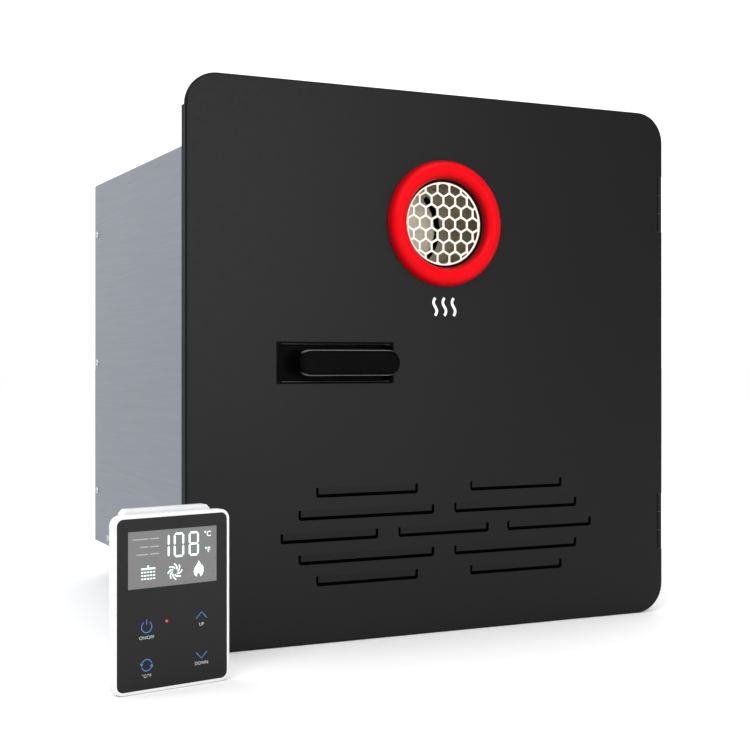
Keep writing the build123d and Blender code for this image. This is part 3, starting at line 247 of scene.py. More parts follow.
class Finish:
    """A procedural material: a base colour with tints, roughness, grain and wear laid over it."""

    def __init__(self, name, colour, roughness, metallic=0.0, specular=0.5, coat=0.0, coat_roughness=0.1):
        self.name = name
        self.material = bpy.data.materials.new(name)
        self.material.use_nodes = True
        self.tree = self.material.node_tree
        self.shader = self.tree.nodes["Principled BSDF"]
        self.base = (*colour, 1.0)
        self.normal = None
        self.set("Base Color", self.base)
        self.set("Roughness", roughness)
        self.set("Metallic", metallic)
        self.set("Specular IOR Level", specular)
        self.set("Coat Weight", coat)
        self.set("Coat Roughness", coat_roughness)
        self.coords = self.node("TexCoord").outputs["Object"]

    def set(self, socket, value):
        self.shader.inputs[socket].default_value = value

    def node(self, kind, operation=None):
        made = self.tree.nodes.new("ShaderNode" + kind)
        if operation:
            made.operation = operation
        return made

    def link(self, source, target):
        self.tree.links.new(source, target)

    def glow(self, colour, strength):
        self.set("Emission Color", (*colour, 1.0))
        self.set("Emission Strength", strength)
        return self

    def noise(self, scale, low=0.0, high=1.0, stretch=(1.0, 1.0, 1.0), detail=4.0):
        """Noise between two values; stretch squeezes it along each axis."""
        place = self.node("Mapping")
        place.inputs["Scale"].default_value = stretch
        self.link(self.coords, place.inputs["Vector"])
        speckle = self.node("TexNoise")
        speckle.inputs["Scale"].default_value = scale
        speckle.inputs["Detail"].default_value = detail
        self.link(place.outputs["Vector"], speckle.inputs["Vector"])
        return self.span(speckle.outputs["Fac"], *noise_span, low, high)

    def span(self, value, start, end, low, high):
        return map_range(self.tree, value, start, end, low, high).outputs["Result"]

    def times(self, first, second):
        product = self.node("Math", "MULTIPLY")
        self.link(first, product.inputs[0])
        self.link(second, product.inputs[1])
        return product.outputs[0]

    def tint(self, amount, colour):
        """Lays another colour over the base by an amount that varies."""
        mix = self.node("Mix")
        mix.data_type = "RGBA"
        self.link(amount, mix.inputs["Factor"])
        base, over = [socket for socket in mix.inputs if socket.type == "RGBA"]
        if isinstance(self.base, tuple):
            base.default_value = self.base
        else:
            self.link(self.base, base)
        over.default_value = (*colour, 1.0)
        self.base = [socket for socket in mix.outputs if socket.type == "RGBA"][0]
        self.link(self.base, self.shader.inputs["Base Color"])
        return self

    def rough(self, amount):
        self.link(amount, self.shader.inputs["Roughness"])
        return self

    def relief(self, height, strength, distance):
        """Bump on top of the bumps laid so far."""
        bump = self.node("Bump")
        bump.inputs["Strength"].default_value = strength
        bump.inputs["Distance"].default_value = distance
        self.link(height, bump.inputs["Height"])
        if self.normal:
            self.link(self.normal, bump.inputs["Normal"])
        self.normal = bump.outputs["Normal"]
        self.link(self.normal, self.shader.inputs["Normal"])
        return self

    def facing(self, axis):
        """How squarely a surface faces along an axis, from 0 to 1."""
        shape = self.node("NewGeometry")
        parts = self.node("SeparateXYZ")
        size = self.node("Math", "ABSOLUTE")
        self.link(shape.outputs["Normal"], parts.inputs["Vector"])
        self.link(parts.outputs[axis], size.inputs[0])
        return size.outputs[0]

    def painted_highlight_rims(self, colour, most):
        """Paints a highlight: tints what faces up or down, such as the long edges of a handle, towards another
        colour.
        """
        return self.tint(self.span(self.facing("Z"), *painted_highlight_span, 0.0, most), colour)

    def matt_sides(self, least, most):
        """Lowers the sheen of what turns away from the front."""
        sheen = self.span(self.facing("Y"), *side_span, least, most)
        self.link(sheen, self.shader.inputs["Specular IOR Level"])
        return self

    def paint_shade_by_radius(self, centre, start, end, colour, most):
        """Paints shade: tints towards another colour with the distance from a line along Y."""
        shift = self.node("VectorMath", "SUBTRACT")
        shift.inputs[1].default_value = centre
        flat = self.node("VectorMath", "MULTIPLY")
        flat.inputs[1].default_value = (1.0, 0.0, 1.0)
        reach = self.node("VectorMath", "LENGTH")
        self.link(self.coords, shift.inputs[0])
        self.link(shift.outputs["Vector"], flat.inputs[0])
        self.link(flat.outputs["Vector"], reach.inputs[0])
        return self.tint(self.span(reach.outputs["Value"], start, end, 0.0, most), colour)

    def edge_wear(self, width, colour, most):
        """Rubs the edges towards another colour, unevenly."""
        bevel = self.node("Bevel")
        bevel.samples = 4
        bevel.inputs["Radius"].default_value = width
        shape = self.node("NewGeometry")
        turn = self.node("VectorMath", "DOT_PRODUCT")
        self.link(bevel.outputs["Normal"], turn.inputs[0])
        self.link(shape.outputs["Normal"], turn.inputs[1])
        edge = self.span(turn.outputs["Value"], *edge_span, 0.0, most)
        return self.tint(self.times(edge, self.noise(wear_scale, wear_least, 1.0)), colour)


# Finishes, one for each slot of the record
def painted(name, colour, roughness, specular, worn):
    """Powder coat: fine orange peel, faint cloudiness, edges slightly rubbed."""
    made = Finish(name, colour, roughness, specular=specular)
    made.tint(made.noise(cloud_scale, 0.0, cloud_most), tuple(c * cloud_lift for c in colour))
    made.rough(made.noise(sheen_scale, roughness - sheen_less, roughness + sheen_more))
    made.relief(made.noise(peel_scale, detail=2.0), peel_strength, peel_depth)
    return made.edge_wear(paint_edge, worn, paint_wear)


def metal(name, colour, dull, roughness, grain, stretch, metallic=1.0, streak=0.4):
    """Bare metal: drawn or rolled grain along one way, and dull patches."""
    made = Finish(name, colour, roughness, metallic=metallic)
    made.tint(made.noise(patch_scale, 0.0, streak), dull)
    made.tint(made.noise(grain, 0.0, streak, stretch), dull)
    made.rough(made.noise(grain, roughness - 0.2 * streak, roughness + 0.2 * streak, stretch))
    made.relief(made.noise(grain, stretch=stretch), 0.3 * streak, grain_depth)
    return made


def moulded(name, colour, roughness, grain=2200, coat=0.0, specular=0.5):
    """Moulded plastic: fine spark texture, slight mottling, soft edge shine."""
    made = Finish(name, colour, roughness, specular=specular, coat=coat)
    made.tint(made.noise(mottle_scale, 0.0, mottle_most), lighter(colour, 1.18, 0.002))
    made.rough(made.noise(gloss_scale, roughness - gloss_less, roughness + gloss_more))
    made.relief(made.noise(grain, detail=2.0), spark_strength, grain_depth)
    return made.edge_wear(plastic_edge, lighter(colour, 1.3, 0.005), plastic_wear)


def board_finish():
    """Green lacquer with a maze of paler tracks."""
    made = Finish("board", srgb(28, 92, 52), 0.35, coat=0.3)
    bricks = made.node("TexBrick")
    bricks.inputs["Scale"].default_value = 160
    bricks.inputs["Mortar Size"].default_value = 0.06
    made.link(made.coords, bricks.inputs["Vector"])
    made.tint(made.span(bricks.outputs["Fac"], 0.0, 1.0, 0.0, 0.6), srgb(92, 150, 92))
    return made.tint(made.noise(40, 0.0, 0.4), srgb(20, 70, 40))


along_y = (1.0, 0.02, 1.0)
even = (1.0, 1.0, 1.0)
slot_finishes = [
    painted("door_paint", srgb(15, 15, 16), 0.36, 0.16, srgb(24, 24, 25)).matt_sides(0.02, 0.15),
    painted("black_steel", srgb(24, 24, 25), 0.5, 0.3, srgb(90, 90, 92)),
    painted("guard_enamel", srgb(240, 236, 222), 0.35, 0.4, srgb(205, 198, 180)),
    painted("lever_blue", srgb(30, 90, 185), 0.35, 0.5, srgb(120, 160, 215)),
    metal("galvanised", srgb(128, 132, 141), srgb(112, 116, 125), 0.5, 700, along_y, 0.9, 0.12),
    metal("screw_steel", srgb(206, 206, 208), srgb(160, 160, 162), 0.3, 500, even),
    metal("stainless", srgb(178, 170, 155), srgb(120, 104, 84), 0.34, 380, along_y, streak=0.25),
    metal("copper", srgb(214, 138, 96), srgb(128, 70, 48), 0.32, 260, even, streak=0.25),
    metal("brass_fitting", srgb(214, 178, 98), srgb(160, 124, 60), 0.28, 600, even, streak=0.25),
    metal("cast_alloy", srgb(190, 192, 194), srgb(140, 142, 146), 0.48, 900, even),
    metal("pressed_alloy", srgb(196, 196, 194), srgb(150, 146, 140), 0.36, 400, along_y),
    moulded("red_silicone", srgb(206, 0, 12), 0.42, 1600, specular=0.06),
    # The latch plastic carries a painted highlight along its up- and down-facing edges.
    moulded("latch_plastic", srgb(4, 4, 4), 0.32, specular=0.02).painted_highlight_rims(srgb(128, 128, 130), 0.9),
    moulded("seal_rubber", srgb(30, 30, 31), 0.8, 900),
    moulded("white_ceramic", srgb(236, 233, 224), 0.2, 600, coat=0.4),
    moulded("dark_plastic", srgb(42, 42, 45), 0.45),
    moulded("grey_plastic", srgb(168, 172, 178), 0.45),
    moulded("rocker_red", srgb(205, 28, 28), 0.25, coat=0.3),
    moulded("controller_white", srgb(214, 214, 216), 0.34, 2600, specular=0.3),
    moulded("controller_glass", srgb(16, 16, 17), 0.12, 700, specular=0.25),
    moulded("display", srgb(106, 105, 105), 0.3, 1800),
    board_finish(),
]
finishes = {made.name: made for made in slot_finishes}
# Near-black for the throat sleeve, standing in for the shade in the throat of the ring.
throat_shade_black = moulded("throat_shade_black", srgb(7, 6, 6), 0.6, 900, specular=0.04)
# Near-black for the louvre screen, which also stands for the shade behind the slots.
screen_shade_black = moulded("screen_shade_black", srgb(3, 3, 3), 0.85, 900, specular=0.02)
# White ink of the heat mark; its glow is painted brightness, as the print is no lamp.
ink_white_painted_glow = moulded("ink_white_painted_glow", srgb(244, 244, 244), 0.5).glow((1.0, 1.0, 1.0), 0.12)
ink_grey = moulded("ink_grey", srgb(178, 178, 180), 0.5)
ink_blue = moulded("ink_blue", srgb(48, 100, 158), 0.4).glow(srgb(48, 100, 158), 0.2)
ink_dim = moulded("ink_dim", srgb(152, 158, 157), 0.4)
ink_lit = moulded("ink_lit", srgb(222, 250, 246), 0.4).glow(srgb(214, 255, 250), 0.75)
led_red = moulded("led_red", srgb(235, 30, 26), 0.3).glow(srgb(255, 40, 30), 0.8)

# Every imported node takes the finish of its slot
for part in frame["record"]["subparts"]:
    for slot in nodes[part["node"]].material_slots:
        slot.material = finishes[part["material_slot"]].material


# Objects and meshes
def placed(name, data):
    """A new object in the scene."""
    made = bpy.data.objects.new(name, data)
    bpy.context.scene.collection.objects.link(made)
    return made


def finished(name, mesh, body, finish):
    """A new piece that rides on a body and shows a finish."""
    made = placed(name, mesh)
    mesh.materials.append(finish.material)
    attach(made, body)
    return made


def smooth(mesh):
    """Smooth shading, split at sharp edges."""
    mesh.polygons.foreach_set("use_smooth", [True] * len(mesh.polygons))
    mesh.set_sharp_from_angle(angle=sharp_angle)
    return mesh


def shaped(name, build):
    """Mesh filled in by a function that gets a bmesh."""
    shape = bmesh.new()
    build(shape)
    bmesh.ops.recalc_face_normals(shape, faces=shape.faces)
    mesh = bpy.data.meshes.new(name)
    shape.to_mesh(mesh)
    shape.free()
    return mesh


def evaluated(made):
    """Mesh of an object with its modifiers, or its letters, worked out."""
    return bpy.data.meshes.new_from_object(made.evaluated_get(bpy.context.evaluated_depsgraph_get()))


def welded(name, source):
    """Copy of a mesh with its doubled points joined and no material."""
    shape = bmesh.new()
    shape.from_mesh(source)
    bmesh.ops.remove_doubles(shape, verts=shape.verts, dist=weld)
    mesh = bpy.data.meshes.new(name)
    shape.to_mesh(mesh)
    shape.free()
    return mesh


def settle(made, *modifiers):
    """Applies modifiers to a mesh object in place."""
    for kind, settings in modifiers:
        modifier = made.modifiers.new(kind.lower(), kind)
        for name, value in settings.items():
            setattr(modifier, name, value)
    fixed = evaluated(made)
    made.modifiers.clear()
    made.data = fixed
    return made


def cut(made, cutter, *more):
    """Takes a cutter out of a piece, then applies what follows."""
    settle(made, ("BOOLEAN", {"operation": "DIFFERENCE", "object": cutter}), *more)
    smooth(made.data)
    bpy.data.objects.remove(cutter)


def bridge(shape, here, there):
    """Faces between two closed loops of points."""
    for i in range(len(here)):
        j = (i + 1) % len(here)
        shape.faces.new((here[i], here[j], there[j], there[i]))


def tube(shape, loops):
    """Closed body through a row of loops."""
    for here, there in zip(loops, loops[1:]):
        bridge(shape, here, there)
    shape.faces.new(loops[0])
    shape.faces.new(loops[-1])


def slab(shape, here, there):
    """Closed body between two loops."""
    shape.faces.new(here)
    shape.faces.new(there)
    bridge(shape, here, there)


def lathe(shape, profile, centre, steps):
    """Turns a closed profile of (radius, y) about the line along Y through a centre."""
    rings = []
    for step in range(steps):
        angle = math.tau * step / steps
        across, up = math.cos(angle), math.sin(angle)
        rings.append([shape.verts.new((centre.x + r * across, y, centre.z + r * up)) for r, y in profile])
    for here, there in zip(rings, rings[1:] + rings[:1]):
        bridge(shape, here, there)


def prism(shape, outline, y):
    """Closed prism along Y between two values, from an outline of (x, z)."""
    slab(shape, *[[shape.verts.new((px, level, pz)) for px, pz in outline] for level in y])


def plate(shape, x, y, z):
    """Box between two corners."""
    prism(shape, [(x[0], z[0]), (x[1], z[0]), (x[1], z[1]), (x[0], z[1])], y)


def bend(centre, radii, start, end, steps):
    """Points of an elliptical arc, angles in degrees."""
    turns = [math.radians(start + (end - start) * i / steps) for i in range(steps + 1)]
    return [(centre[0] + radii[0] * math.cos(t), centre[1] + radii[1] * math.sin(t)) for t in turns]


def arc(x, z, radius, start, end, steps=24):
    return bend((x, z), (radius, radius), start, end, steps)


def circle(x, z, radius, steps, turn=0.0):
    """Outline of a circle or, with few steps, of a polygon."""
    turns = [turn + math.tau * i / steps for i in range(steps)]
    return [(x + radius * math.cos(t), z + radius * math.sin(t)) for t in turns]


# Exhaust ring
ring_low, ring_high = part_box("exhaust_ring")
guard_low, guard_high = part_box("exhaust_guard")
door_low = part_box("door_panel")[0]
exhaust = Vector((0.0, door_low.y, (ring_low.z + ring_high.z) / 2))
nose_y = exhaust.y - ring_rise + ring_nose_drop
ledge_r = guard_r - ring_ledge
ring_profile = [
    *bend((ring_crown_r, exhaust.y), (ring_r - ring_crown_r, -ring_rise), 0, 90, ring_outer_steps),
    *bend((ring_crown_r, nose_y), (ring_crown_r - ring_in_r, -ring_nose_drop), 90, 180, ring_inner_steps)[1:],
    (guard_r, guard_low.y),
    (guard_r, guard_high.y),
    (ledge_r, guard_high.y),
    (ledge_r, ring_high.y),
    (ring_neck_r, ring_high.y),
    (ring_neck_r, exhaust.y),
]
red = finishes["red_silicone"]
# Painted shade: the red darkens towards the inner edge of the ring and towards its outer edge.
red.paint_shade_by_radius(exhaust, ring_in_r + ring_painted_shade_start, ring_in_r + ring_painted_shade_end, srgb(30, 0, 1), ring_painted_shade)
red.paint_shade_by_radius(exhaust, ring_r - ring_edge_painted_shade_reach, ring_r, srgb(120, 0, 6), ring_edge_painted_shade)
ring_mesh = shaped("exhaust_ring_moulding", lambda shape: lathe(shape, ring_profile, exhaust, ring_steps))
ring = finished("exhaust_ring_moulding", smooth(ring_mesh), "door", red)
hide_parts("exhaust_ring")

# Near-black sleeve in the throat of the ring: a steel sleeve whose black stands for the shade in the throat
throat_shade_profile = [
    (ring_in_r - throat_shade_t / 3, nose_y + throat_shade_t),
    (guard_r - throat_shade_t / 3, guard_low.y - throat_shade_t / 2),
    (guard_r - throat_shade_t, guard_low.y - throat_shade_t / 2),
    (ring_in_r - throat_shade_t, nose_y + throat_shade_t),
]
throat_shade_mesh = shaped("exhaust_throat_shade", lambda shape: lathe(shape, throat_shade_profile, exhaust, ring_steps))
finished("exhaust_throat_shade", smooth(throat_shade_mesh), "door", throat_shade_black)

# Hexagon guard
cell_row = guard_pitch * math.sqrt(3) / 2
cell_r = (guard_pitch - guard_web) / math.sqrt(3)
cell_limit = guard_hole_r + guard_part_share * cell_r
cell_reach = math.ceil(guard_r / cell_row) + 1
cells = []
for row in range(-cell_reach, cell_reach + 1):
    for column in range(-cell_reach, cell_reach + 1):
        cells.append(((column + (row + 1) % 2 / 2) * guard_pitch, row * cell_row))
guard_span = (guard_low.y, guard_high.y)
guard_cut = (guard_low.y - past_end, guard_high.y + past_end)


def guard_disc(radius, span):
    return lambda shape: prism(shape, circle(0, exhaust.z, radius, guard_steps), span)


def cut_cells(shape):
    for x, z in cells:
        if math.hypot(x, z) < cell_limit:
            prism(shape, circle(x, exhaust.z + z, cell_r, 6, math.pi / 6), guard_cut)


holes = placed("guard_holes", shaped("guard_holes", cut_cells))
limit = placed("guard_limit", shaped("guard_limit", guard_disc(guard_hole_r, guard_cut)))
settle(holes, ("BOOLEAN", {"operation": "INTERSECT", "object": limit}))
bpy.data.objects.remove(limit)
guard_mesh = shaped("exhaust_guard_mesh", guard_disc(guard_r, guard_span))
guard = finished("exhaust_guard_mesh", guard_mesh, "door", finishes["guard_enamel"])
cut(guard, holes, ("BEVEL", {"width": guard_round, "segments": 3, "limit_method": "ANGLE"}))
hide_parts("exhaust_guard")

# Near-black insect screen in a shallow rim behind the louvres; its black also stands for the shade behind the
# slots
rim_y = door_low.y + door_t
screen_y = rim_y + screen_lift


def screen(shape):
    plate(shape, (-screen_half, screen_half), (screen_y, screen_y + screen_t), (screen_low, screen_high))
    for z in (screen_low, screen_high - screen_rim):
        plate(shape, (-screen_half, screen_half), (rim_y, screen_y), (z, z + screen_rim))
    for x in (-screen_half, screen_half - screen_rim):
        plate(shape, (x, x + screen_rim), (rim_y, screen_y), (screen_low + screen_rim, screen_high - screen_rim))


finished("louver_screen", shaped("louver_screen", screen), "door", screen_shade_black)


# Threads cut into the ends of the pipe fittings
def groove(mount):
    """Helical cutter along a fitting's thread, which runs out past its end."""
    centre = Vector(mount["pos_m"])
    radius = mount["dims"]["r_mm"] * mm
    length = mount["dims"]["length_mm"] * mm
    start = centre.y - length / 2 + thread_lead * thread_pitch
    turns = math.ceil(length / thread_pitch)
    wide = thread_share * thread_pitch
    section = [(radius - thread_depth, 0.0), (radius + thread_over, wide), (radius + thread_over, -wide)]

    def build(shape):
        loops = []
        for step in range(turns * thread_steps + 1):
            angle = math.tau * step / thread_steps
            across, up = math.cos(angle), math.sin(angle)
            along = start + thread_pitch * step / thread_steps
            loop = [(centre.x + r * across, along + y, centre.z + r * up) for r, y in section]
            loops.append([shape.verts.new(spot) for spot in loop])
        tube(shape, loops)

    return build


for node in ("cold_inlet", "hot_outlet", "gas_inlet"):
    fitting_mesh = welded(node + "_fitting", nodes[node].data)
    fitting = finished(node + "_fitting", fitting_mesh, "case", finishes["brass_fitting"])
    cut(fitting, placed(node + "_groove", shaped(node + "_groove", groove(mounts[node + "_thread"]))))
    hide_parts(node)

# Black washers at the ends of the hinge pins
pins_low, pins_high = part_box("hinge_pins")
pin_axis = (pins_low + pins_high) / 2
pin_ends = sorted({round(vertex.co.z, 5) for vertex in nodes["hinge_pins"].data.vertices})


def washers(shape):
    for index, level in enumerate(pin_ends):
        way = 1 if index % 2 else -1
        place = Vector((pin_axis.x, pin_axis.y, level + way * (washer_gap + washer_t / 2)))
        bmesh.ops.create_cone(
            shape,
            cap_ends=True,
            segments=washer_steps,
            radius1=washer_r,
            radius2=washer_r,
            depth=washer_t,
            matrix=Matrix.Translation(place),
        )


washer_mesh = shaped("hinge_washers", washers)
finished("hinge_washers", smooth(washer_mesh), "case", finishes["black_steel"])

# Case screws with crossed recesses
screw_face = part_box("case_wrap")[1].x


def screw_places():
    """Middle of each head on the case's sides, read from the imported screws."""
    groups = []
    for vertex in nodes["case_screws"].data.vertices:
        spot = vertex.co
        if abs(spot.x) <= screw_face:
            continue
        near = [g for g in groups if g[0].x * spot.x > 0 and (g[0].yz - spot.yz).length < screw_apart]
        if near:
            near[0].append(spot)
        else:
            groups.append([spot])
    centres = []
    for spots in groups:
        middle = [(min(s[axis] for s in spots) + max(s[axis] for s in spots)) / 2 for axis in (1, 2)]
        centres.append((math.copysign(screw_face, spots[0].x), *middle))
    return centres


def screw_heads(shape):
    """Domed heads."""
    for x, y, z in screw_places():
        loops = []
        for share, rise in screw_dome:
            level = x + math.copysign(screw_h * rise, x)
            outline = circle(y, z, screw_r * share, screw_steps)
            loops.append([shape.verts.new((level, a, b)) for a, b in outline])
        tube(shape, loops)


def screw_crosses(shape):
    """Cross-shaped plugs that cut the recess."""
    arm, half = screw_cross, screw_cross_w / 2
    corners = [
        (arm, half), (half, half), (half, arm), (-half, arm), (-half, half), (-arm, half),
        (-arm, -half), (-half, -half), (-half, -arm), (half, -arm), (half, -half), (arm, -half),
    ]
    for x, y, z in screw_places():
        levels = [x + math.copysign(rise, x) for rise in (screw_h - screw_cross_depth, screw_h + past_end)]
        slab(shape, *[[shape.verts.new((level, y + a, z + b)) for a, b in corners] for level in levels])


screw_mesh = shaped("case_screw_heads", screw_heads)
screws = finished("case_screw_heads", screw_mesh, "case", finishes["screw_steel"])
cut(screws, placed("screw_crosses", shaped("screw_crosses", screw_crosses)))
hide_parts("case_screws")


# Prints on flat faces
class Face:
    """A flat face: its middle, its right and up, its outward side and its size."""

    def __init__(self, middle, right, width=0.0, height=0.0):
        self.middle = middle
        self.right = right
        self.up = Vector((0.0, 0.0, 1.0))
        self.out = right.cross(self.up)
        self.width = width
        self.height = height

    def at(self, x, z, lift=0.0):
        return self.middle + self.right * x + self.up * z + self.out * lift

    def share(self, across, down):
        """Place from shares of the width and height, from the top left corner."""
        return (across - 0.5) * self.width, (0.5 - down) * self.height


def stroke(points, width):
    """Outline of a line of even width along points."""
    sides = ([], [])
    for i, point in enumerate(points):
        ahead = Vector(points[min(i + 1, len(points) - 1)]) - Vector(points[max(i - 1, 0)])
        across = Vector((-ahead.y, ahead.x)).normalized() * (width / 2)
        sides[0].append(tuple(Vector(point) + across))
        sides[1].append(tuple(Vector(point) - across))
    return sides[0] + sides[1][::-1]


def bar(x, z, width, height):
    """Upright rectangle about a middle."""
    half_w, half_h = width / 2, height / 2
    return [(x - half_w, z - half_h), (x + half_w, z - half_h), (x + half_w, z + half_h), (x - half_w, z + half_h)]


def printed(name, face, outlines, finish, body):
    """Ink of even thickness laid on a face, from closed outlines."""

    def build(shape):
        for outline in outlines:
            slab(shape, *[[shape.verts.new(face.at(x, z, lift)) for x, z in outline] for lift in (0.0, print_t)])

    return finished(name, shaped(name, build), body, finish)


def lettering(name, face, text, size, x, z, finish):
    """A short word or sign on the controller, centred on a place."""
    curve = bpy.data.curves.new(name, "FONT")
    curve.body = text
    curve.size = size
    curve.extrude = print_t
    curve.align_x = "CENTER"
    curve.align_y = "CENTER"
    source = placed(name + "_curve", curve)
    bpy.context.view_layer.update()
    mesh = welded(name, evaluated(source))
    bpy.data.objects.remove(source)
    turn = Matrix((face.right, face.up, face.out)).transposed().to_4x4()
    mesh.transform(Matrix.Translation(face.at(x, z)) @ turn)
    return finished(name, mesh, "controller", finish)


# Heat mark on the door, in white ink with a painted glow
door_face = Face(Vector((0.0, door_low.y, 0.0)), Vector((1.0, 0.0, 0.0)))
waves = []
for place in range(heat_count):
    middle_x = (place - (heat_count - 1) / 2) * heat_pitch
    line = []
    for step in range(heat_steps + 1):
        share = step / heat_steps
        line.append((middle_x + heat_swing * math.sin(math.tau * share), heat_z + heat_h * (share - 0.5)))
    waves.append(stroke(line, heat_w))
printed("heat_mark", door_face, waves, ink_white_painted_glow, "door")

# Controller's glass and display
inward = Vector(mounts["controller_wall_face"]["axis"]).normalized()
glass_right = Vector((inward.y, -inward.x, 0.0))


def reach_along(node, way):
    """Least and most of a node's points along a direction."""
    spots = [vertex.co.dot(way) for vertex in nodes[node].data.vertices]
    return min(spots), max(spots)


def front_face(node, low, high, side_middle=None):
    """Front of a flat node of the controller, between the bottom and the top of its box."""
    left, right = reach_along(node, glass_right)
    if side_middle is None:
        side_middle = (left + right) / 2
    middle = inward * reach_along(node, inward)[0] + glass_right * side_middle
    middle.z = (low.z + high.z) / 2
    return Face(middle, glass_right, right - left, high.z - low.z)


glass_face = front_face("controller_glass", *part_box("controller_glass"))
glass_side = glass_face.middle.dot(glass_right)
display_face = front_face("controller_display", *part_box("controller_display"), glass_side)


# Keys
def key_icon(name, outlines, finish=ink_blue):
    return printed(name, glass_face, outlines, finish, "controller")


def key_word(name, text, across, down):
    x, z = glass_face.share(across, down)
    return lettering(name, glass_face, text, word_h, x, z, ink_grey)


def chevron(x, z, way):
    """Angle bracket that points up or down."""
    low, high = z - way * arrow_half_h, z + way * arrow_half_h
    return stroke([(x - arrow_half_w, low), (x, high), (x + arrow_half_w, low)], stroke_w)


power_x, power_z = glass_face.share(key_left, power_down)
key_icon("power_icon", [
    stroke(arc(power_x, power_z, icon_r, *power_arc), stroke_w),
    stroke([(power_x, power_z + share * icon_r) for share in power_bar], stroke_w),
])
key_word("power_word", "ON/OFF", key_left, power_word_down)
key_icon("power_led", [circle(*glass_face.share(led_across, led_down), led_r, led_steps)], led_red)
key_icon("up_icon", [chevron(*glass_face.share(key_right, up_down), 1)])
key_word("up_word", "UP", key_right, up_word_down)
key_icon("down_icon", [chevron(*glass_face.share(key_right, down_down), -1)])
key_word("down_word", "DOWN", key_right, down_word_down)

cycle_x, cycle_z = glass_face.share(key_left, scale_down)
cycle = []
for start in cycle_starts:
    cycle.append(stroke(arc(cycle_x, cycle_z, icon_r, start, start + cycle_arc), stroke_w))
    tip = math.radians(start + cycle_barb)
    tip_x, tip_z = cycle_x + icon_r * math.cos(tip), cycle_z + icon_r * math.sin(tip)
    cycle.append(circle(tip_x, tip_z, barb_r, 3, tip + math.pi / 2))
key_icon("scale_icon", cycle)
key_word("scale_word", "°C/°F", key_left, scale_word_down)


# Display: three figures, plain bars, scale signs and three signs below
def lit(name, outlines, finish=ink_lit):
    return printed(name, display_face, outlines, finish, "controller")


def segment(x, z, length, upright):
    """One bar of a figure, pointed at both ends."""
    half, point = length / 2, figure_t / 2
    inner = half - point
    line = [(-half, 0), (-inner, point), (inner, point), (half, 0), (inner, -point), (-inner, -point)]
    return [(x + b, z + a) if upright else (x + a, z + b) for a, b in line]


# Bars that each figure lights: top, middle, bottom, upper left, upper right, lower left, lower right
lit_bars = {"1": (4, 6), "0": (0, 2, 3, 4, 5, 6), "8": (0, 1, 2, 3, 4, 5, 6)}


def figure(character, x, z):
    half_w, half_h = figure_w / 2, figure_h / 2
    bars = [(x, z + level, figure_w, False) for level in (half_h, 0.0, -half_h)]
    for level in (half_h / 2, -half_h / 2):
        bars += [(x - half_w, z + level, half_h, True), (x + half_w, z + level, half_h, True)]
    lights = [bars[i] for i in lit_bars[character]]
    return [segment(a, b, length * figure_fill, upright) for a, b, length, upright in lights]


figures = []
for character, across in figure_places:
    figures += figure(character, *display_face.share(across, figure_down))
lit("display_figures", figures)

rows = []
for down, long_part, short_part in row_places:
    for end, width in ((row_end, short_part), (row_end - short_part - row_gap, long_part)):
        rows.append(bar(*display_face.share(end - width / 2, down), width * display_face.width, row_t))
lit("display_rows", rows, ink_dim)
for name, text, down in degree_places:
    lettering(name, display_face, text, degree_h, *display_face.share(degree_across, down), ink_lit)

# Spray sign
spray_x, spray_z = display_face.share(spray_across, sign_down)
spray = [
    bar(spray_x, spray_z + spray_head, spray_w, spray_t),
    bar(spray_x, spray_z + spray_stem, spray_t, spray_stem_h),
]
for row in range(drop_rows):
    for column in range(drop_columns):
        drop_x = spray_x + (column - (drop_columns - 1) / 2) * drop_pitch
        spray.append(bar(drop_x, spray_z + drop_top - row * drop_pitch, drop_w, drop_h))
lit("display_spray", spray)

# Fan sign: curved blades round a hub
fan_x, fan_z = display_face.share(fan_across, sign_down)
blades = []
for blade in range(blade_count):
    sweep = []
    for step in range(blade_steps + 1):
        share = step / blade_steps
        reach = blade_in + (blade_out - blade_in) * share
        turn = math.tau * blade / blade_count + blade_turn * share
        sweep.append((fan_x + reach * math.cos(turn), fan_z + reach * math.sin(turn)))
    blades.append(stroke(sweep, blade_w))
lit("display_fan", blades)

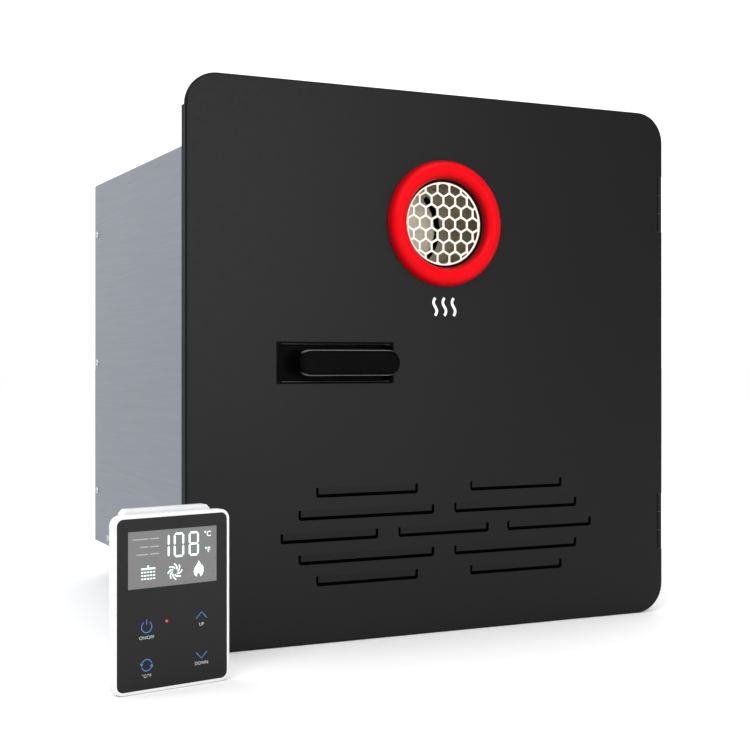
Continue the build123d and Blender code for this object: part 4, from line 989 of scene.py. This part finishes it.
# Flame sign
flame_x, flame_z = display_face.share(flame_across, sign_down)
lit("display_flame", [[(flame_x + a * mm, flame_z + b * mm) for a, b in flame_outline]])


# Floor
def floor_grid(shape):
    bmesh.ops.create_grid(shape, x_segments=1, y_segments=1, size=floor_half)


floor_mesh = shaped("floor", floor_grid)
floor = placed("floor", floor_mesh)
floor.location.z = cad_box[0].z - floor_drop
floor_mesh.materials.append(Finish("floor", floor_white, 0.7, specular=0.2).material)

# Light
world = bpy.data.worlds.new("studio")
bpy.context.scene.world = world
world.use_nodes = True
sky_tree = world.node_tree
sky = sky_tree.nodes["Background"]
sky.inputs["Color"].default_value = (1.0, 1.0, 1.0, 1.0)
heading = sky_tree.nodes.new("ShaderNodeTexCoord")
parts = sky_tree.nodes.new("ShaderNodeSeparateXYZ")
sky_tree.links.new(heading.outputs["Generated"], parts.inputs["Vector"])
front = map_range(sky_tree, parts.outputs["X"], *sky_turn_x, sky_left, sky_right)
whole = map_range(sky_tree, parts.outputs["Y"], *sky_turn_y, 0.0, sky_behind)
sky_tree.links.new(front.outputs["Result"], whole.inputs["To Min"])
sky_tree.links.new(whole.outputs["Result"], sky.inputs["Strength"])


def softbox(name, place, target, size, energy):
    """Square area light that looks at a point."""
    lamp = bpy.data.lights.new(name, "AREA")
    lamp.size = size
    lamp.energy = energy
    made = placed(name, lamp)
    made.location = place
    made.rotation_euler = (Vector(target) - Vector(place)).to_track_quat("-Z", "Y").to_euler()


softbox("key_light", (-1.6, -1.8, 1.9), (0.0, 0.1, 0.0), 1.4, 30.0)
softbox("top_light", (0.2, -0.2, 2.4), (0.0, 0.1, 0.0), 1.6, 18.0)
softbox("glance_light", (0.4, -2.3, 0.45), (-0.15, 0.0, 0.05), 1.3, 16.0)

# Camera
camera = bpy.data.cameras.new("camera")
camera.sensor_width = sensor
camera.lens = focal_px / image_px * sensor
camera.shift_y = horizon_px / image_px - 0.5
eye = placed("camera", camera)
eye.location = camera_place
eye.rotation_euler = (math.pi / 2, 0.0, -camera_heading)
bpy.context.scene.camera = eye
bpy.context.scene.view_settings.view_transform = "Standard"
